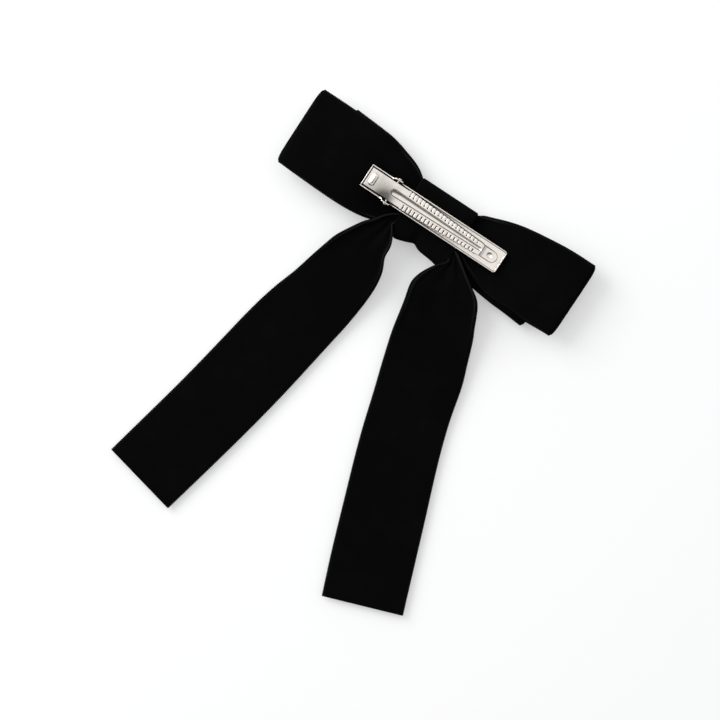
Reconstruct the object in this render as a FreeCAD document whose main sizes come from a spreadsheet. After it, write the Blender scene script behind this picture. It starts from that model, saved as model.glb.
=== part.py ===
import FreeCAD, Part
import Sketcher
import math
import os
import re

# A ribbon bow with two tails on a toothed alligator clip, lying face down.
# +X runs along the loops, +Y points away from the tails and +Z points to the back, where the clip is.
# The origin is the middle of the knot's front face. Lengths are in millimetres, angles in degrees.

doc = FreeCAD.newDocument("hair_bow")

SIZES = {
    # velvet ribbon
    "ribbon_width": 39.5,
    "ribbon_ply": 1.1,
    "lay_gap": 0.1,
    # knot: the band round the middle and the thread under it
    "knot_width": 31.0,
    "knot_foot": 25.0,
    "foot_rise": 6.0,
    "knot_height": 31.4,
    "knot_ply": 1.2,
    "knot_fold": 2.4,
    "thread_ply": 0.6,
    "thread_width": 2.4,
    # loops: how far each end reaches from the knot's middle, how thick the front one swells,
    # and the room left between the rear one and the clip
    "front_left": 60.4,
    "front_right": 62.3,
    "rear_left": 78.1,
    "rear_right": 75.7,
    "front_swell": 5.8,
    "clip_room": 0.8,
    "loop_shoulder": 45.0,
    "waist_ease": 1.0,
    # tails
    "neck_width": 9.5,
    "neck_ply": 3.2,
    "neck_drop": 10.5,
    "tail_root": 14.7,
    "left_spread": 11.3,
    "right_spread": 19.2,
    "left_length": 176.5,
    "right_length": 174.6,
    "left_opening": 52.0,
    "right_opening": 40.0,
    "tail_landing": 66.0,
    "drape_gap": 0.3,
    # clip: place on the knot, tray and pin
    "clip_shift": -0.9,
    "clip_lift": 2.6,
    "clip_length": 75.0,
    "clip_width": 11.5,
    "metal": 0.5,
    "glue_film": 0.35,
    "glue_margin": 2.5,
    "tray_wall": 2.0,
    "tray_lip": 0.8,
    "tray_corner": 1.3,
    "ear_rim": 0.98,
    "ear_side": 1.78,
    "ear_flare": 1.15,
    "ear_corner": 0.9,
    "ear_step": 0.65,
    "ear_slope": 45.0,
    "pin_inset": 14.4,
    "pin_height": 1.9,
    "pin_radius": 0.72,
    "pin_brim": 0.43,
    "pin_proud": 0.75,
    "pin_edge": 0.3,
    "pin_fit": 0.05,
    # clip lever: its play inside the tray, and its stations from the pin
    "flange_play": 0.65,
    "comb_play": 0.35,
    "pin_clear": 0.23,
    "jaw_fall": 1.75,
    "thumb_margin": 0.9,
    "thumb_lift": 5.0,
    "thumb_bend": 1.2,
    "knee_run": 6.2,
    "knee_lift": 3.3,
    "thumb_lip": 1.5,
    "bite_gap": 0.2,
    "tip_margin": 2.7,
    "tip_length": 7.9,
    "comb_start": 7.2,
    "comb_shoulder": 1.0,
    "comb_margin": 1.9,
    "comb_nose": 5.9,
    "slot_pitch": 2.0,
    "slot_width": 0.65,
    "slot_land": 0.1,
    "step_run": 1.2,
    "step_lead": 0.35,
    "tip_width": 5.0,
    "tip_gap": 0.15,
    "thumb_corner": 0.8,
    "groove_depth": 0.7,
    "groove_start": -0.6,
    "groove_margin": 0.4,
    "groove_back": 1.8,
    "groove_nose": 0.9,
    "groove_slope": 30.0,
    "boss_length": 6.4,
    "boss_width": 2.8,
    "boss_height": 0.4,
    "boss_inset": 3.3,
    "boss_slot": 1.0,
    "boss_slope": 30.0,
    "dimple_inset": 3.75,
    "dimple_radius": 1.4,
    "dimple_depth": 0.3,
    "dimple_slope": 50.0,
    # leaf spring
    "spring_strip": 0.3,
    "spring_width": 5.0,
    "spring_bend": 0.55,
    "spring_back": 1.45,
    "spring_margin": 2.6,
    "spring_short": 0.5,
    "spring_lift": 5.2,
}
FAN_STEPS = 10   # cross-sections along the fan of each tail
ROOT_SHARE = 0.6  # where across its neck each tail's middle line starts
FAN_BULGE = 0.7   # how far the outer edge of a fan swings out, as a share of the knot's half width

sheet = doc.addObject("Spreadsheet::Sheet", "Sizes")
for row, (alias, value) in enumerate(SIZES.items(), start=1):
    sheet.set(f"A{row}", alias)
    sheet.set(f"B{row}", str(value))
    sheet.setAlias(f"B{row}", alias)
doc.recompute()

WORD = re.compile(r"[a-z_]+")


def size(alias):
    return float(sheet.get(alias))


def bound(text):
    """The expression as an object of the document has to write it, with the sheet's name in it."""
    return WORD.sub(lambda m: f"Sizes.{m[0]}" if m[0] in SIZES else m[0], text)


def number(text):
    """The value of an expression, for the first guess at a sketch's geometry."""
    plain = WORD.sub(lambda m: repr(size(m[0])) if m[0] in SIZES else m[0], text)
    return FreeCAD.Units.Quantity(plain).Value


# Levels through the knot, from its front face to the clip: each is the sum of what lies under it.
UNDER_FRONT = "knot_ply + thread_ply + 2 * lay_gap"
UNDER_REAR = f"{UNDER_FRONT} + 2 * ribbon_ply + lay_gap"
UNDER_NECKS = f"{UNDER_REAR} + 2 * ribbon_ply + lay_gap"
UNDER_BACK = f"{UNDER_NECKS} + neck_ply + thread_ply + 2 * lay_gap"
FRONT_WAIST = f"({UNDER_FRONT})"
REAR_WAIST = f"({UNDER_REAR})"
NECK_LEVEL = f"({UNDER_NECKS})"
THREAD_TOP = f"({UNDER_BACK} - lay_gap)"
KNOT_TOP = f"({UNDER_BACK} + knot_ply)"
CLIP_LEVEL = f"({UNDER_BACK} + knot_ply + glue_film)"

# Levels of the loops beside the knot: the rear one is pressed between the front one and the clip.
FRONT_LOW = "(lay_gap / 2)"
FRONT_TOP = "(lay_gap / 2 + front_swell)"
REAR_LOW = "(lay_gap * 3 / 2 + front_swell)"
REAR_TOP = f"({UNDER_BACK} + knot_ply + glue_film - clip_room)"

# The ribbons' lower edges run straight through the knot, and their upper edges are gathered down to it.
KNOT_ROOM = "(knot_height / 2 - knot_ply - lay_gap)"
LOOP_MIDDLE = f"(ribbon_width / 2 - {KNOT_ROOM})"
WAIST_EDGE = f"(2 * {KNOT_ROOM} - ribbon_width / 2)"
WAIST_END = "(knot_width / 2 + waist_ease)"
SWELL_RUN = f"(loop_shoulder - {WAIST_END})"


def tangent_radius(run, rise):
    """The radius of an arc that starts level and has risen by rise after run."""
    return f"((({run}) ^ 2 + ({rise}) ^ 2) / (2 * ({rise})))"


def make_body(name):
    body = doc.addObject("PartDesign::Body", name)
    body.Label = name
    return body


def place(body, **expressions):
    """Binds parts of a body's Placement, given as x, y, z."""
    for axis, text in expressions.items():
        body.setExpression(f"Placement.Base.{axis}", bound(text))


def plane(body, role):
    return next(o for o in body.Origin.OriginFeatures if o.Role == role)


def make_sketch(body, name, role, lift=None, shift=None, tilt=None, turn=None):
    """A sketch on one of the body's planes, lifted off it, shifted along its first axis,
    tilted about its second axis or turned in its own plane."""
    sketch = body.newObject("Sketcher::SketchObject", name)
    sketch.AttachmentSupport = [(plane(body, role), "")]
    sketch.MapMode = "FlatFace"
    if lift:
        sketch.setExpression("AttachmentOffset.Base.z", bound(lift))
    if shift:
        sketch.setExpression("AttachmentOffset.Base.x", bound(shift[0]))
        sketch.setExpression("AttachmentOffset.Base.y", bound(shift[1]))
    if tilt or turn:
        axis = FreeCAD.Vector(0, 1, 0) if tilt else FreeCAD.Vector(0, 0, 1)
        sketch.AttachmentOffset = FreeCAD.Placement(FreeCAD.Vector(), FreeCAD.Rotation(axis, 1))
        sketch.setExpression("AttachmentOffset.Rotation.Angle", bound(tilt or turn))
    return sketch


def fix_point(sketch, geometry, end, x, y):
    """Ties one end of an edge to the sketch's origin by two bound distances."""
    for kind, text in (("DistanceX", x), ("DistanceY", y)):
        index = sketch.addConstraint(Sketcher.Constraint(kind, -1, 1, geometry, end, number(text)))
        sketch.setExpression(f"Constraints[{index}]", bound(text))


def draw(sketch, corners):
    """Closes an outline through corners. A corner is (x, y), or (x, y, radius, side) where the edge
    that leaves it is an arc, which bends to the left when side is 1 and to the right when it is -1."""
    spots = [FreeCAD.Vector(number(c[0]), number(c[1]), 0) for c in corners]
    edges = []
    for i, corner in enumerate(corners):
        start, stop = spots[i], spots[(i + 1) % len(spots)]
        if len(corner) == 2:
            edges.append((sketch.addGeometry(Part.LineSegment(start, stop)), 1, 2))
            continue
        radius, side = number(corner[2]), corner[3]
        along = stop - start
        across = FreeCAD.Vector(-along.y, along.x, 0).normalize() * side
        inset = math.sqrt(max(radius ** 2 - (along.Length / 2) ** 2, 0))
        centre = (start + stop) / 2 + across * inset
        first, last = (start, stop) if side > 0 else (stop, start)
        angles = [math.atan2(p.y - centre.y, p.x - centre.x) for p in (first, last)]
        circle = Part.Circle(centre, FreeCAD.Vector(0, 0, 1), radius)
        arc = sketch.addGeometry(Part.ArcOfCircle(circle, *angles))
        index = sketch.addConstraint(Sketcher.Constraint("Radius", arc, radius))
        sketch.setExpression(f"Constraints[{index}]", bound(corner[2]))
        edges.append((arc, 1, 2) if side > 0 else (arc, 2, 1))
    for i, corner in enumerate(corners):
        before, here = edges[i - 1], edges[i]
        sketch.addConstraint(Sketcher.Constraint("Coincident", before[0], before[2], here[0], here[1]))
        fix_point(sketch, here[0], here[1], corner[0], corner[1])


def draw_circle(sketch, x, y, radius):
    circle = Part.Circle(FreeCAD.Vector(number(x), number(y), 0), FreeCAD.Vector(0, 0, 1), number(radius))
    index = sketch.addGeometry(circle)
    fix_point(sketch, index, 3, x, y)
    index = sketch.addConstraint(Sketcher.Constraint("Radius", index, number(radius)))
    sketch.setExpression(f"Constraints[{index}]", bound(radius))


def mirrored(corners, axis="y"):
    """The corners on the other side of an axis, in the opposite order, to close an outline with."""
    flipped = []
    for i in range(len(corners) - 1, -1, -1):
        x, y = corners[i][:2]
        bend = corners[i - 1][2:] if i else ()
        spot = (f"-({x})", y) if axis == "y" else (x, f"-({y})")
        flipped.append((*spot, *bend))
    return flipped


def block(x_low, x_high, y_low, y_high):
    return [(x_low, y_low), (x_high, y_low), (x_high, y_high), (x_low, y_high)]


def pad(body, name, sketch, length, both=False, flip=False, slope=None):
    """Adds to the body, with walls that lean inwards by slope where one is given."""
    feature = body.newObject("PartDesign::Pad", name)
    feature.Profile = sketch
    feature.SideType = "Symmetric" if both else "One side"
    feature.Reversed = flip
    feature.setExpression("Length", bound(length))
    if slope:
        feature.setExpression("TaperAngle", bound(f"-{slope}"))
    doc.recompute()
    return feature


def pocket(body, name, sketch, length=None, both=False, flip=False, slope=None):
    """Cuts, through everything where no length is given, and stops where nothing was cut."""
    doc.recompute()
    volume = body.Tip.Shape.Volume
    feature = body.newObject("PartDesign::Pocket", name)
    feature.Profile = sketch
    feature.SideType = "Symmetric" if both else "One side"
    feature.Reversed = flip
    if length:
        feature.setExpression("Length", bound(length))
    else:
        feature.Type = "ThroughAll"
    if slope:
        feature.setExpression("TaperAngle", bound(f"-{slope}"))
    doc.recompute()
    if not feature.Shape.Volume < volume - 1e-6:
        raise RuntimeError(f"{name} cut nothing")
    return feature


def make_loop(name, waist, low, top, reach_left, reach_right):
    """A ribbon loop: a ring of ribbon seen from the side, pinched in the knot, as wide as the ribbon,
    with its upper edge gathered down to the knot."""
    body = make_body(name)
    place(body, y=LOOP_MIDDLE)
    rise = f"({top} - {waist} - 2 * ribbon_ply)"
    sink = f"({waist} - {low})"
    sinks = number(sink) > 0
    lower_bend = tangent_radius(SWELL_RUN, sink if sinks else f"-{sink}")
    upper_bend = tangent_radius(SWELL_RUN, rise)
    half_swell = f"({top} - {low}) / 2"
    side = make_sketch(body, f"{name}_side", "XZ_Plane")

    def ring(reach, inset, start):
        """One end of the ring, inset from the ribbon's outer face."""
        end = f"({half_swell} - {inset})"
        return [
            (WAIST_END, start[0], lower_bend, 1 if sinks else -1),
            ("loop_shoulder", f"{low} + {inset}"),
            (f"{reach} - {half_swell}", f"{low} + {inset}", end, 1),
            (f"{reach} - {inset}", f"({low} + {top}) / 2", end, 1),
            (f"{reach} - {half_swell}", f"{top} - {inset}"),
            ("loop_shoulder", f"{top} - {inset}", upper_bend, 1),
            (WAIST_END, start[1]),
        ]

    outer = (waist, f"{waist} + 2 * ribbon_ply")
    draw(side, ring(reach_right, "0", outer) + mirrored(ring(reach_left, "0", outer)))
    inner = (f"{waist} + ribbon_ply", f"{waist} + ribbon_ply")
    draw(side, ring(reach_right, "ribbon_ply", inner)[:-1])
    draw(side, mirrored(ring(reach_left, "ribbon_ply", inner))[:-1])
    pad(body, f"{name}_ribbon", side, "ribbon_width", both=True)

    gather = make_sketch(body, f"{name}_gather", "XY_Plane")
    edge = "ribbon_width / 2"
    drop = f"({edge} - {WAIST_EDGE})"
    bend = tangent_radius("(loop_shoulder - knot_width / 2)", drop)
    notch = "(thread_width / 2 + lay_gap)"
    nick = "(thread_ply + 3 * lay_gap)"
    over = "1"
    draw(gather, [
        ("-loop_shoulder", edge, bend, -1),
        ("-knot_width / 2", WAIST_EDGE),
        (f"-{notch}", WAIST_EDGE),
        (f"-{notch}", f"{WAIST_EDGE} - {nick}"),
        (notch, f"{WAIST_EDGE} - {nick}"),
        (notch, WAIST_EDGE),
        ("knot_width / 2", WAIST_EDGE, bend, -1),
        ("loop_shoulder", edge),
        ("loop_shoulder", f"{edge} + {over}"),
        ("-loop_shoulder", f"{edge} + {over}"),
    ])
    draw(gather, block(f"-{notch}", notch, f"-{edge} - {over}", f"-{edge} + {nick}"))
    pocket(body, f"{name}_waist", gather, both=True)


make_loop("front_loop", FRONT_WAIST, FRONT_LOW, FRONT_TOP, "front_left", "front_right")
make_loop("rear_loop", REAR_WAIST, REAR_LOW, REAR_TOP, "rear_left", "rear_right")


def rounded_block(half, low, high, radius):
    """A rectangle about the vertical axis with all four corners rounded."""
    right = [
        (f"{half} - {radius}", low, radius, 1),
        (half, f"{low} + {radius}"),
        (half, f"{high} - {radius}", radius, 1),
        (f"{half} - {radius}", high),
    ]
    return right + mirrored(right)


def make_knot_band():
    """The band: a ring of ribbon round the waist, narrower at its foot, where the tails pull it in."""
    body = make_body("knot_band")
    ring = make_sketch(body, "band_ring", "YZ_Plane")
    draw(ring, rounded_block("(knot_height / 2)", "0", KNOT_TOP, "knot_fold"))
    inner_fold = "(knot_fold - knot_ply)"
    inner_half = "(knot_height / 2 - knot_ply)"
    draw(ring, rounded_block(inner_half, "knot_ply", f"{KNOT_TOP} - knot_ply", inner_fold))
    pad(body, "band_ribbon", ring, "knot_width", both=True)
    taper = make_sketch(body, "band_taper", "XY_Plane")
    wedge = [
        ("knot_foot / 2", "-knot_height / 2 - 1"),
        ("knot_width / 2 + 1", "-knot_height / 2 - 1"),
        ("knot_width / 2 + 1", "foot_rise - knot_height / 2"),
        ("knot_width / 2", "foot_rise - knot_height / 2"),
        ("knot_foot / 2", "-knot_height / 2"),
    ]
    draw(taper, wedge)
    draw(taper, mirrored(wedge))
    pocket(body, "band_sides", taper, both=True)


def make_binding_thread():
    """Turns of thread lying side by side round the gathered ribbons."""
    body = make_body("binding_thread")
    ring = make_sketch(body, "thread_ring", "YZ_Plane")
    radius = "(knot_fold - knot_ply - lay_gap)"
    low = "(knot_ply + lay_gap)"
    draw(ring, rounded_block(KNOT_ROOM, low, THREAD_TOP, radius))
    draw(ring, rounded_block(f"({KNOT_ROOM} - thread_ply)", f"{low} + thread_ply",
                             f"{THREAD_TOP} - thread_ply", f"({radius} - thread_ply)"))
    pad(body, "thread_turns", ring, "thread_width", both=True)


make_knot_band()
make_binding_thread()


def rear_back(reach):
    """The height of the rear loop's back at a distance from the knot's middle."""
    radius = number(tangent_radius(SWELL_RUN, f"({REAR_TOP} - {NECK_LEVEL} + lay_gap)"))
    short = max(size("loop_shoulder") - reach, 0)
    return number(REAR_TOP) - radius + math.sqrt(radius ** 2 - short ** 2)


def bezier(poles):
    curve = Part.BezierCurve()
    curve.setPoles(poles)
    return curve


def make_tail(name, side, spread, length, opening):
    """A tail: gathered flat strip inside the knot, fanned out of the knot's side and over the rear loop's
    lower edge, then the plain ribbon down to the table, cut square at its end."""
    vector = FreeCAD.Vector
    angle = math.radians(spread)
    along = vector(side * math.sin(angle), -math.cos(angle), 0)
    across = vector(side * math.cos(angle), math.sin(angle), 0)
    neck_low = -size("neck_drop")
    root = vector(side * size("tail_root"), neck_low + size("neck_width") * ROOT_SHARE, 0)
    half = size("ribbon_width") / 2
    neck = size("knot_width") / 2 + size("waist_ease") / 2
    pull = opening / 3
    inner_end = root + along * opening - across * half
    outer_end = root + along * opening + across * half
    inner_start = vector(side * neck, neck_low, 0)
    outer_start = vector(side * neck, neck_low + size("neck_width"), 0)
    inner = bezier([inner_start, inner_start + vector(-side * neck / 3, neck_low, 0),
                    inner_end - along * pull, inner_end])
    outer = bezier([outer_start, outer_start + vector(side * neck * FAN_BULGE, neck_low, 0),
                    outer_end - along * pull, outer_end])
    neck_level = number(NECK_LEVEL)
    landing = size("tail_landing")
    ply = size("ribbon_ply")
    rest = size("lay_gap") / 2
    loop_edge = number(LOOP_MIDDLE) - half
    crest = next(i for i in range(FAN_STEPS) if outer.value(i / FAN_STEPS).y < loop_edge - ply)

    def section(inside, outside, level, thick):
        low, high = vector(0, 0, level), vector(0, 0, level + thick)
        return Part.makePolygon([inside + low, outside + low, outside + high, inside + high, inside + low])

    def fallen(distance):
        """The level of the ribbon's underside from the loop's edge down to the table."""
        start = opening * crest / FAN_STEPS
        share = min((distance - start) / (landing - start), 1)
        return rest + (draped(crest) - rest) * (1 + math.cos(math.pi * share)) / 2

    def draped(step):
        """The same where the ribbon lies on the rear loop's back."""
        reach = abs(outer.value(step / FAN_STEPS).x)
        return max(neck_level, rear_back(reach) + size("drape_gap"))

    sections = []
    for station in (size("lay_gap"), neck * 0.8):
        inside = vector(side * station, neck_low, 0)
        outside = inside + vector(0, size("neck_width"), 0)
        sections.append(section(inside, outside, neck_level, size("neck_ply")))
    for step in range(FAN_STEPS + 1):
        share = step / FAN_STEPS
        thick = size("neck_ply") + (ply - size("neck_ply")) * min(step / crest, 1)
        level = draped(step) if step <= crest else fallen(opening * share)
        sections.append(section(inner.value(share), outer.value(share), level, thick))
    for distance in ((opening + landing) / 2, landing, length):
        middle = root + along * distance
        sections.append(section(middle - across * half, middle + across * half, fallen(distance), ply))
    tail = doc.addObject("Part::Feature", name)
    tail.Shape = Part.makeLoft(sections, True, True)
    tail.Placement = FreeCAD.Placement()
    tail.Label = name


make_tail("left_tail", -1, size("left_spread"), size("left_length"), size("left_opening"))
make_tail("right_tail", 1, size("right_spread"), size("right_length"), size("right_opening"))


def make_clip_glue():
    """The film of glue between the back of the knot and the tray."""
    film = doc.addObject("Part::Box", "clip_glue")
    film.Label = "clip_glue"
    film.setExpression("Length", bound("knot_foot - glue_margin"))
    film.setExpression("Width", bound("clip_width - glue_margin"))
    film.setExpression("Height", bound("glue_film"))
    film.setExpression("Placement.Base.x", bound("-(knot_foot - glue_margin) / 2"))
    film.setExpression("Placement.Base.y", bound("clip_lift - (clip_width - glue_margin) / 2"))
    film.setExpression("Placement.Base.z", bound(KNOT_TOP))


make_clip_glue()

# The clip's own frames: the tray's is the middle of its underside, the lever's and the pin's is the pin.
PIN_X = "(pin_inset - clip_length / 2)"
EAR_HEIGHT = "(pin_height + pin_radius + ear_rim)"
PIN_HEAD = "(pin_radius + pin_brim)"
TRAY_ROOM = "(clip_width - 2 * metal)"


def tray_outline(end, edge, corner):
    """A rectangle about the clip's middle whose two corners at the lever's tip are rounded."""
    lower = [
        (f"-{end}", f"-{edge}"),
        (f"{end} - {corner}", f"-{edge}", corner, 1),
        (end, f"-{edge} + {corner}"),
    ]
    return lower + mirrored(lower, "x")


def make_clip_base():
    """The tray: a stamped strip with turned-up walls, lips at both ends and an ear each side of the pin."""
    body = make_body("clip_base")
    place(body, x="clip_shift", y="clip_lift", z=CLIP_LEVEL)
    end = "clip_length / 2"
    edge = "clip_width / 2"
    plan = make_sketch(body, "tray_plan", "XY_Plane")
    draw(plan, tray_outline(end, edge, "tray_corner"))
    pad(body, "tray_blank", plan, EAR_HEIGHT)
    hollow = make_sketch(body, "tray_hollow", "XY_Plane", lift="metal")
    draw(hollow, tray_outline(f"({end} - metal)", f"({edge} - metal)", "(tray_corner - metal)"))
    pocket(body, "tray_inside", hollow, flip=True)
    crown = "(pin_radius + ear_side)"
    foot = f"({crown} + ear_flare)"
    shoulder = f"({EAR_HEIGHT} - ear_corner)"
    over = f"({EAR_HEIGHT} + 1)"
    # each ear is pressed outwards, so its step is added outside the wall and cut away inside it
    step = make_sketch(body, "ear_step_out", "XZ_Plane", lift=edge)
    draw(step, block(f"{PIN_X} - {crown}", f"{PIN_X} + {crown}", "0", over))
    outside = pad(body, "ear_outside", step, "ear_step", slope="ear_slope")
    room = make_sketch(body, "ear_step_in", "XZ_Plane", lift=f"({edge} - metal)")
    draw(room, block(f"{PIN_X} - {crown}", f"{PIN_X} + {crown}", "metal", over))
    inside = pocket(body, "ear_inside", room, "ear_step", flip=True, slope="ear_slope")
    pair = body.newObject("PartDesign::Mirrored", "ear_pair")
    pair.Originals = [outside, inside]
    pair.MirrorPlane = (plane(body, "XZ_Plane"), [""])
    body.Tip = pair
    doc.recompute()
    wall = make_sketch(body, "tray_walls", "XZ_Plane")
    draw(wall, [
        (f"-{end} - 1", "tray_lip"),
        (f"-{end} + 1", "tray_lip"),
        (f"{PIN_X} - {foot}", "tray_wall"),
        (f"{PIN_X} - {crown}", shoulder, "ear_corner", -1),
        (f"{PIN_X} - {crown} + ear_corner", EAR_HEIGHT),
        (f"{PIN_X} + {crown} - ear_corner", EAR_HEIGHT, "ear_corner", -1),
        (f"{PIN_X} + {crown}", shoulder),
        (f"{PIN_X} + {foot}", "tray_wall"),
        (f"{end} - 1", "tray_lip"),
        (f"{end} + 1", "tray_lip"),
        (f"{end} + 1", over),
        (f"-{end} - 1", over),
    ])
    pocket(body, "tray_trim", wall, both=True)
    bore = make_sketch(body, "ear_bores", "XZ_Plane")
    draw_circle(bore, PIN_X, "pin_height", "pin_radius + pin_fit / 2")
    pocket(body, "ear_holes", bore, both=True)


def make_pivot_pin():
    """The pin: a straight shank with a domed head outside each ear."""
    body = make_body("pivot_pin")
    place(body, x=f"clip_shift + {PIN_X}", y="clip_lift", z=f"{CLIP_LEVEL} + pin_height")
    half = make_sketch(body, "pin_half", "XY_Plane")
    seat = "(clip_width / 2 + ear_step + lay_gap / 2)"
    crown = f"({seat} + pin_proud)"
    brim = f"({seat} + pin_edge)"
    dome = tangent_radius(PIN_HEAD, "(pin_proud - pin_edge)")
    draw(half, [
        ("0", f"-{crown}", dome, 1),
        (PIN_HEAD, f"-{brim}"),
        (PIN_HEAD, f"-{seat}"),
        ("pin_radius", f"-{seat}"),
        ("pin_radius", seat),
        (PIN_HEAD, seat),
        (PIN_HEAD, brim, dome, 1),
        ("0", crown),
    ])
    turn = body.newObject("PartDesign::Revolution", "pin_turned")
    turn.Profile = half
    turn.ReferenceAxis = (half, ["V_Axis"])
    turn.Angle = 360


make_clip_base()
make_pivot_pin()

# The lever's levels and slopes, from the pin: its top face is bent down behind the comb to the tip.
BITE = "(metal + bite_gap - pin_height)"
TIP_TOP = "(2 * metal + tip_gap - pin_height)"
TIP_END = "(clip_length - pin_inset - tip_margin)"
TIP_START = f"({TIP_END} - tip_length)"
COMB_END = f"({TIP_START} - comb_margin)"
THUMB_END = "(pin_inset - thumb_margin)"
JAW_WIDTH = f"({TRAY_ROOM} - 2 * flange_play)"
COMB_ROOT = f"({TRAY_ROOM} - 2 * comb_play)"
JAW_RISE = "(pin_radius + pin_clear + metal + groove_depth)"
PLATE_RUN = f"({TIP_START} + thumb_bend)"
THUMB_RUN = f"({THUMB_END} - thumb_bend)"
THUMB_LENGTH = f"sqrt({THUMB_RUN} ^ 2 + thumb_lift ^ 2)"
THUMB_TOP = f"({JAW_RISE} + thumb_lift)"
THUMB_UNDER = f"({THUMB_TOP} - metal * {THUMB_LENGTH} / {THUMB_RUN})"
PLATE_UNDER = f"({JAW_RISE} - metal)"
NOSE_UNDER = f"({PLATE_UNDER} - jaw_fall * ({COMB_END} + thumb_bend) / {PLATE_RUN})"
PLATE_TILT = f"atan(jaw_fall / {PLATE_RUN})"
# The thumb pad rises steeply to its knee, and eases off from there to its end.
KNEE = "(thumb_bend + knee_run)"
KNEE_TOP = f"({JAW_RISE} + knee_lift)"
KNEE_UNDER = f"({KNEE_TOP} - metal * {THUMB_LENGTH} / {THUMB_RUN})"
PAD_RUN = f"({THUMB_RUN} - knee_run)"
PAD_RISE = "(thumb_lift - knee_lift)"
PAD_LENGTH = f"sqrt({PAD_RUN} ^ 2 + {PAD_RISE} ^ 2)"
PAD_TILT = f"atan({PAD_RISE} / {PAD_RUN})"
# The middles of the groove's two round ends, along the plate from its bend.
GROOVE_BACK = "(groove_start + thumb_bend + groove_back)"
GROOVE_NOSE = f"({TIP_START} - groove_margin + thumb_bend - groove_nose)"


def slot_outline(back, back_radius, nose, nose_radius):
    """A groove along the lever, round at both ends, from one end's centre to the other's."""
    lower = [
        (f"{back} - {back_radius}", "0", back_radius, 1),
        (back, f"-{back_radius}"),
        (nose, f"-{nose_radius}", nose_radius, 1),
    ]
    upper = [(f"{nose} + {nose_radius}", "0", nose_radius, 1)]
    ends = [(nose, nose_radius), (back, back_radius, back_radius, 1)]
    return lower + upper + ends


def make_lever_sheet(body):
    """The lever as bent sheet: thumb pad, plate and stepped tip, with its skirt of flanges and comb."""
    side = make_sketch(body, "lever_side", "XZ_Plane")
    draw(side, [
        (f"-{THUMB_END}", THUMB_UNDER),
        (f"-{KNEE}", KNEE_UNDER),
        ("-thumb_bend", PLATE_UNDER),
        (f"{TIP_START} - step_lead", f"{PLATE_UNDER} - jaw_fall"),
        (f"{TIP_START} + step_run - step_lead", f"{TIP_TOP} - metal"),
        (TIP_END, f"{TIP_TOP} - metal"),
        (TIP_END, TIP_TOP),
        (f"{TIP_START} + step_run", TIP_TOP),
        (TIP_START, f"{JAW_RISE} - jaw_fall"),
        ("-thumb_bend", JAW_RISE),
        (f"-{KNEE}", KNEE_TOP),
        (f"-{THUMB_END}", THUMB_TOP),
    ])
    pad(body, "lever_sheet", side, COMB_ROOT, both=True)
    skirt = make_sketch(body, "lever_skirt", "XZ_Plane")
    draw(skirt, [
        (f"-{THUMB_END}", f"{THUMB_UNDER} - thumb_lip"),
        (BITE, "0", f"-{BITE}", 1),
        ("0", BITE),
        (COMB_END, BITE),
        (COMB_END, NOSE_UNDER),
        ("-thumb_bend", PLATE_UNDER),
        (f"-{KNEE}", KNEE_UNDER),
        (f"-{THUMB_END}", THUMB_UNDER),
    ])
    pad(body, "lever_skirt_block", skirt, COMB_ROOT, both=True)


def trim_lever(body):
    """Cuts the sheet to its outline, and hollows the skirt between its walls."""
    plan = make_sketch(body, "lever_plan", "XY_Plane")
    draw(plan, block(f"-{THUMB_END} - 1", f"{TIP_END} + 1", f"-{COMB_ROOT}", COMB_ROOT))
    lower = [
        (f"-{THUMB_END}", f"-{JAW_WIDTH} / 2 + thumb_corner", "thumb_corner", 1),
        (f"-{THUMB_END} + thumb_corner", f"-{JAW_WIDTH} / 2"),
        ("comb_start - comb_shoulder", f"-{JAW_WIDTH} / 2"),
        ("comb_start", f"-{COMB_ROOT} / 2"),
        (COMB_END, "-comb_nose / 2"),
        (TIP_START, "-tip_width / 2"),
        (f"{TIP_END} - tip_width / 2", "-tip_width / 2", "tip_width / 2", 1),
    ]
    nose = [(TIP_END, "0", "tip_width / 2", 1)]
    draw(plan, lower + nose + mirrored(lower, "x"))
    pocket(body, "lever_outline", plan, both=True)
    between = make_sketch(body, "flange_inside", "XZ_Plane")
    inset = f"(metal * {PAD_RISE} / {PAD_RUN})"
    draw(between, [
        (f"-{THUMB_END} + metal", f"{THUMB_UNDER} - thumb_lip - 1"),
        ("-thumb_bend", f"{BITE} - 1"),
        ("comb_start", f"{BITE} - 1"),
        ("comb_start", f"{PLATE_UNDER} - jaw_fall * (comb_start + thumb_bend) / {PLATE_RUN}"),
        ("-thumb_bend", PLATE_UNDER),
        (f"-{KNEE}", KNEE_UNDER),
        (f"-{THUMB_END} + metal", f"{THUMB_UNDER} - {inset}"),
    ])
    pocket(body, "flange_room", between, f"{JAW_WIDTH} - 2 * metal", both=True)
    comb = make_sketch(body, "comb_inside", "XY_Plane", lift=PLATE_UNDER, shift=("-thumb_bend", "0"),
                       tilt=PLATE_TILT)
    root = [
        ("comb_start + thumb_bend", f"-{COMB_ROOT} / 2 + metal"),
        (f"{COMB_END} + thumb_bend + 1", "-comb_nose / 2 + metal"),
    ]
    draw(comb, root + mirrored(root, "x"))
    pocket(body, "comb_room", comb)


def emboss_groove(body):
    """The groove pressed into the plate: its skin stands out below, and its hollow is cut from above."""
    frame = {"lift": JAW_RISE, "shift": ("-thumb_bend", "0"), "tilt": PLATE_TILT}
    skin = make_sketch(body, "groove_skin", "XY_Plane", **frame)
    draw(skin, slot_outline(GROOVE_BACK, "(groove_back + metal)", GROOVE_NOSE, "(groove_nose + metal)"))
    pad(body, "groove_body", skin, "groove_depth + metal", flip=True, slope="groove_slope")
    hollow = make_sketch(body, "groove_hollow", "XY_Plane", **frame)
    draw(hollow, slot_outline(GROOVE_BACK, "groove_back", GROOVE_NOSE, "groove_nose"))
    pocket(body, "groove_cut", hollow, "groove_depth", slope="groove_slope")


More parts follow.
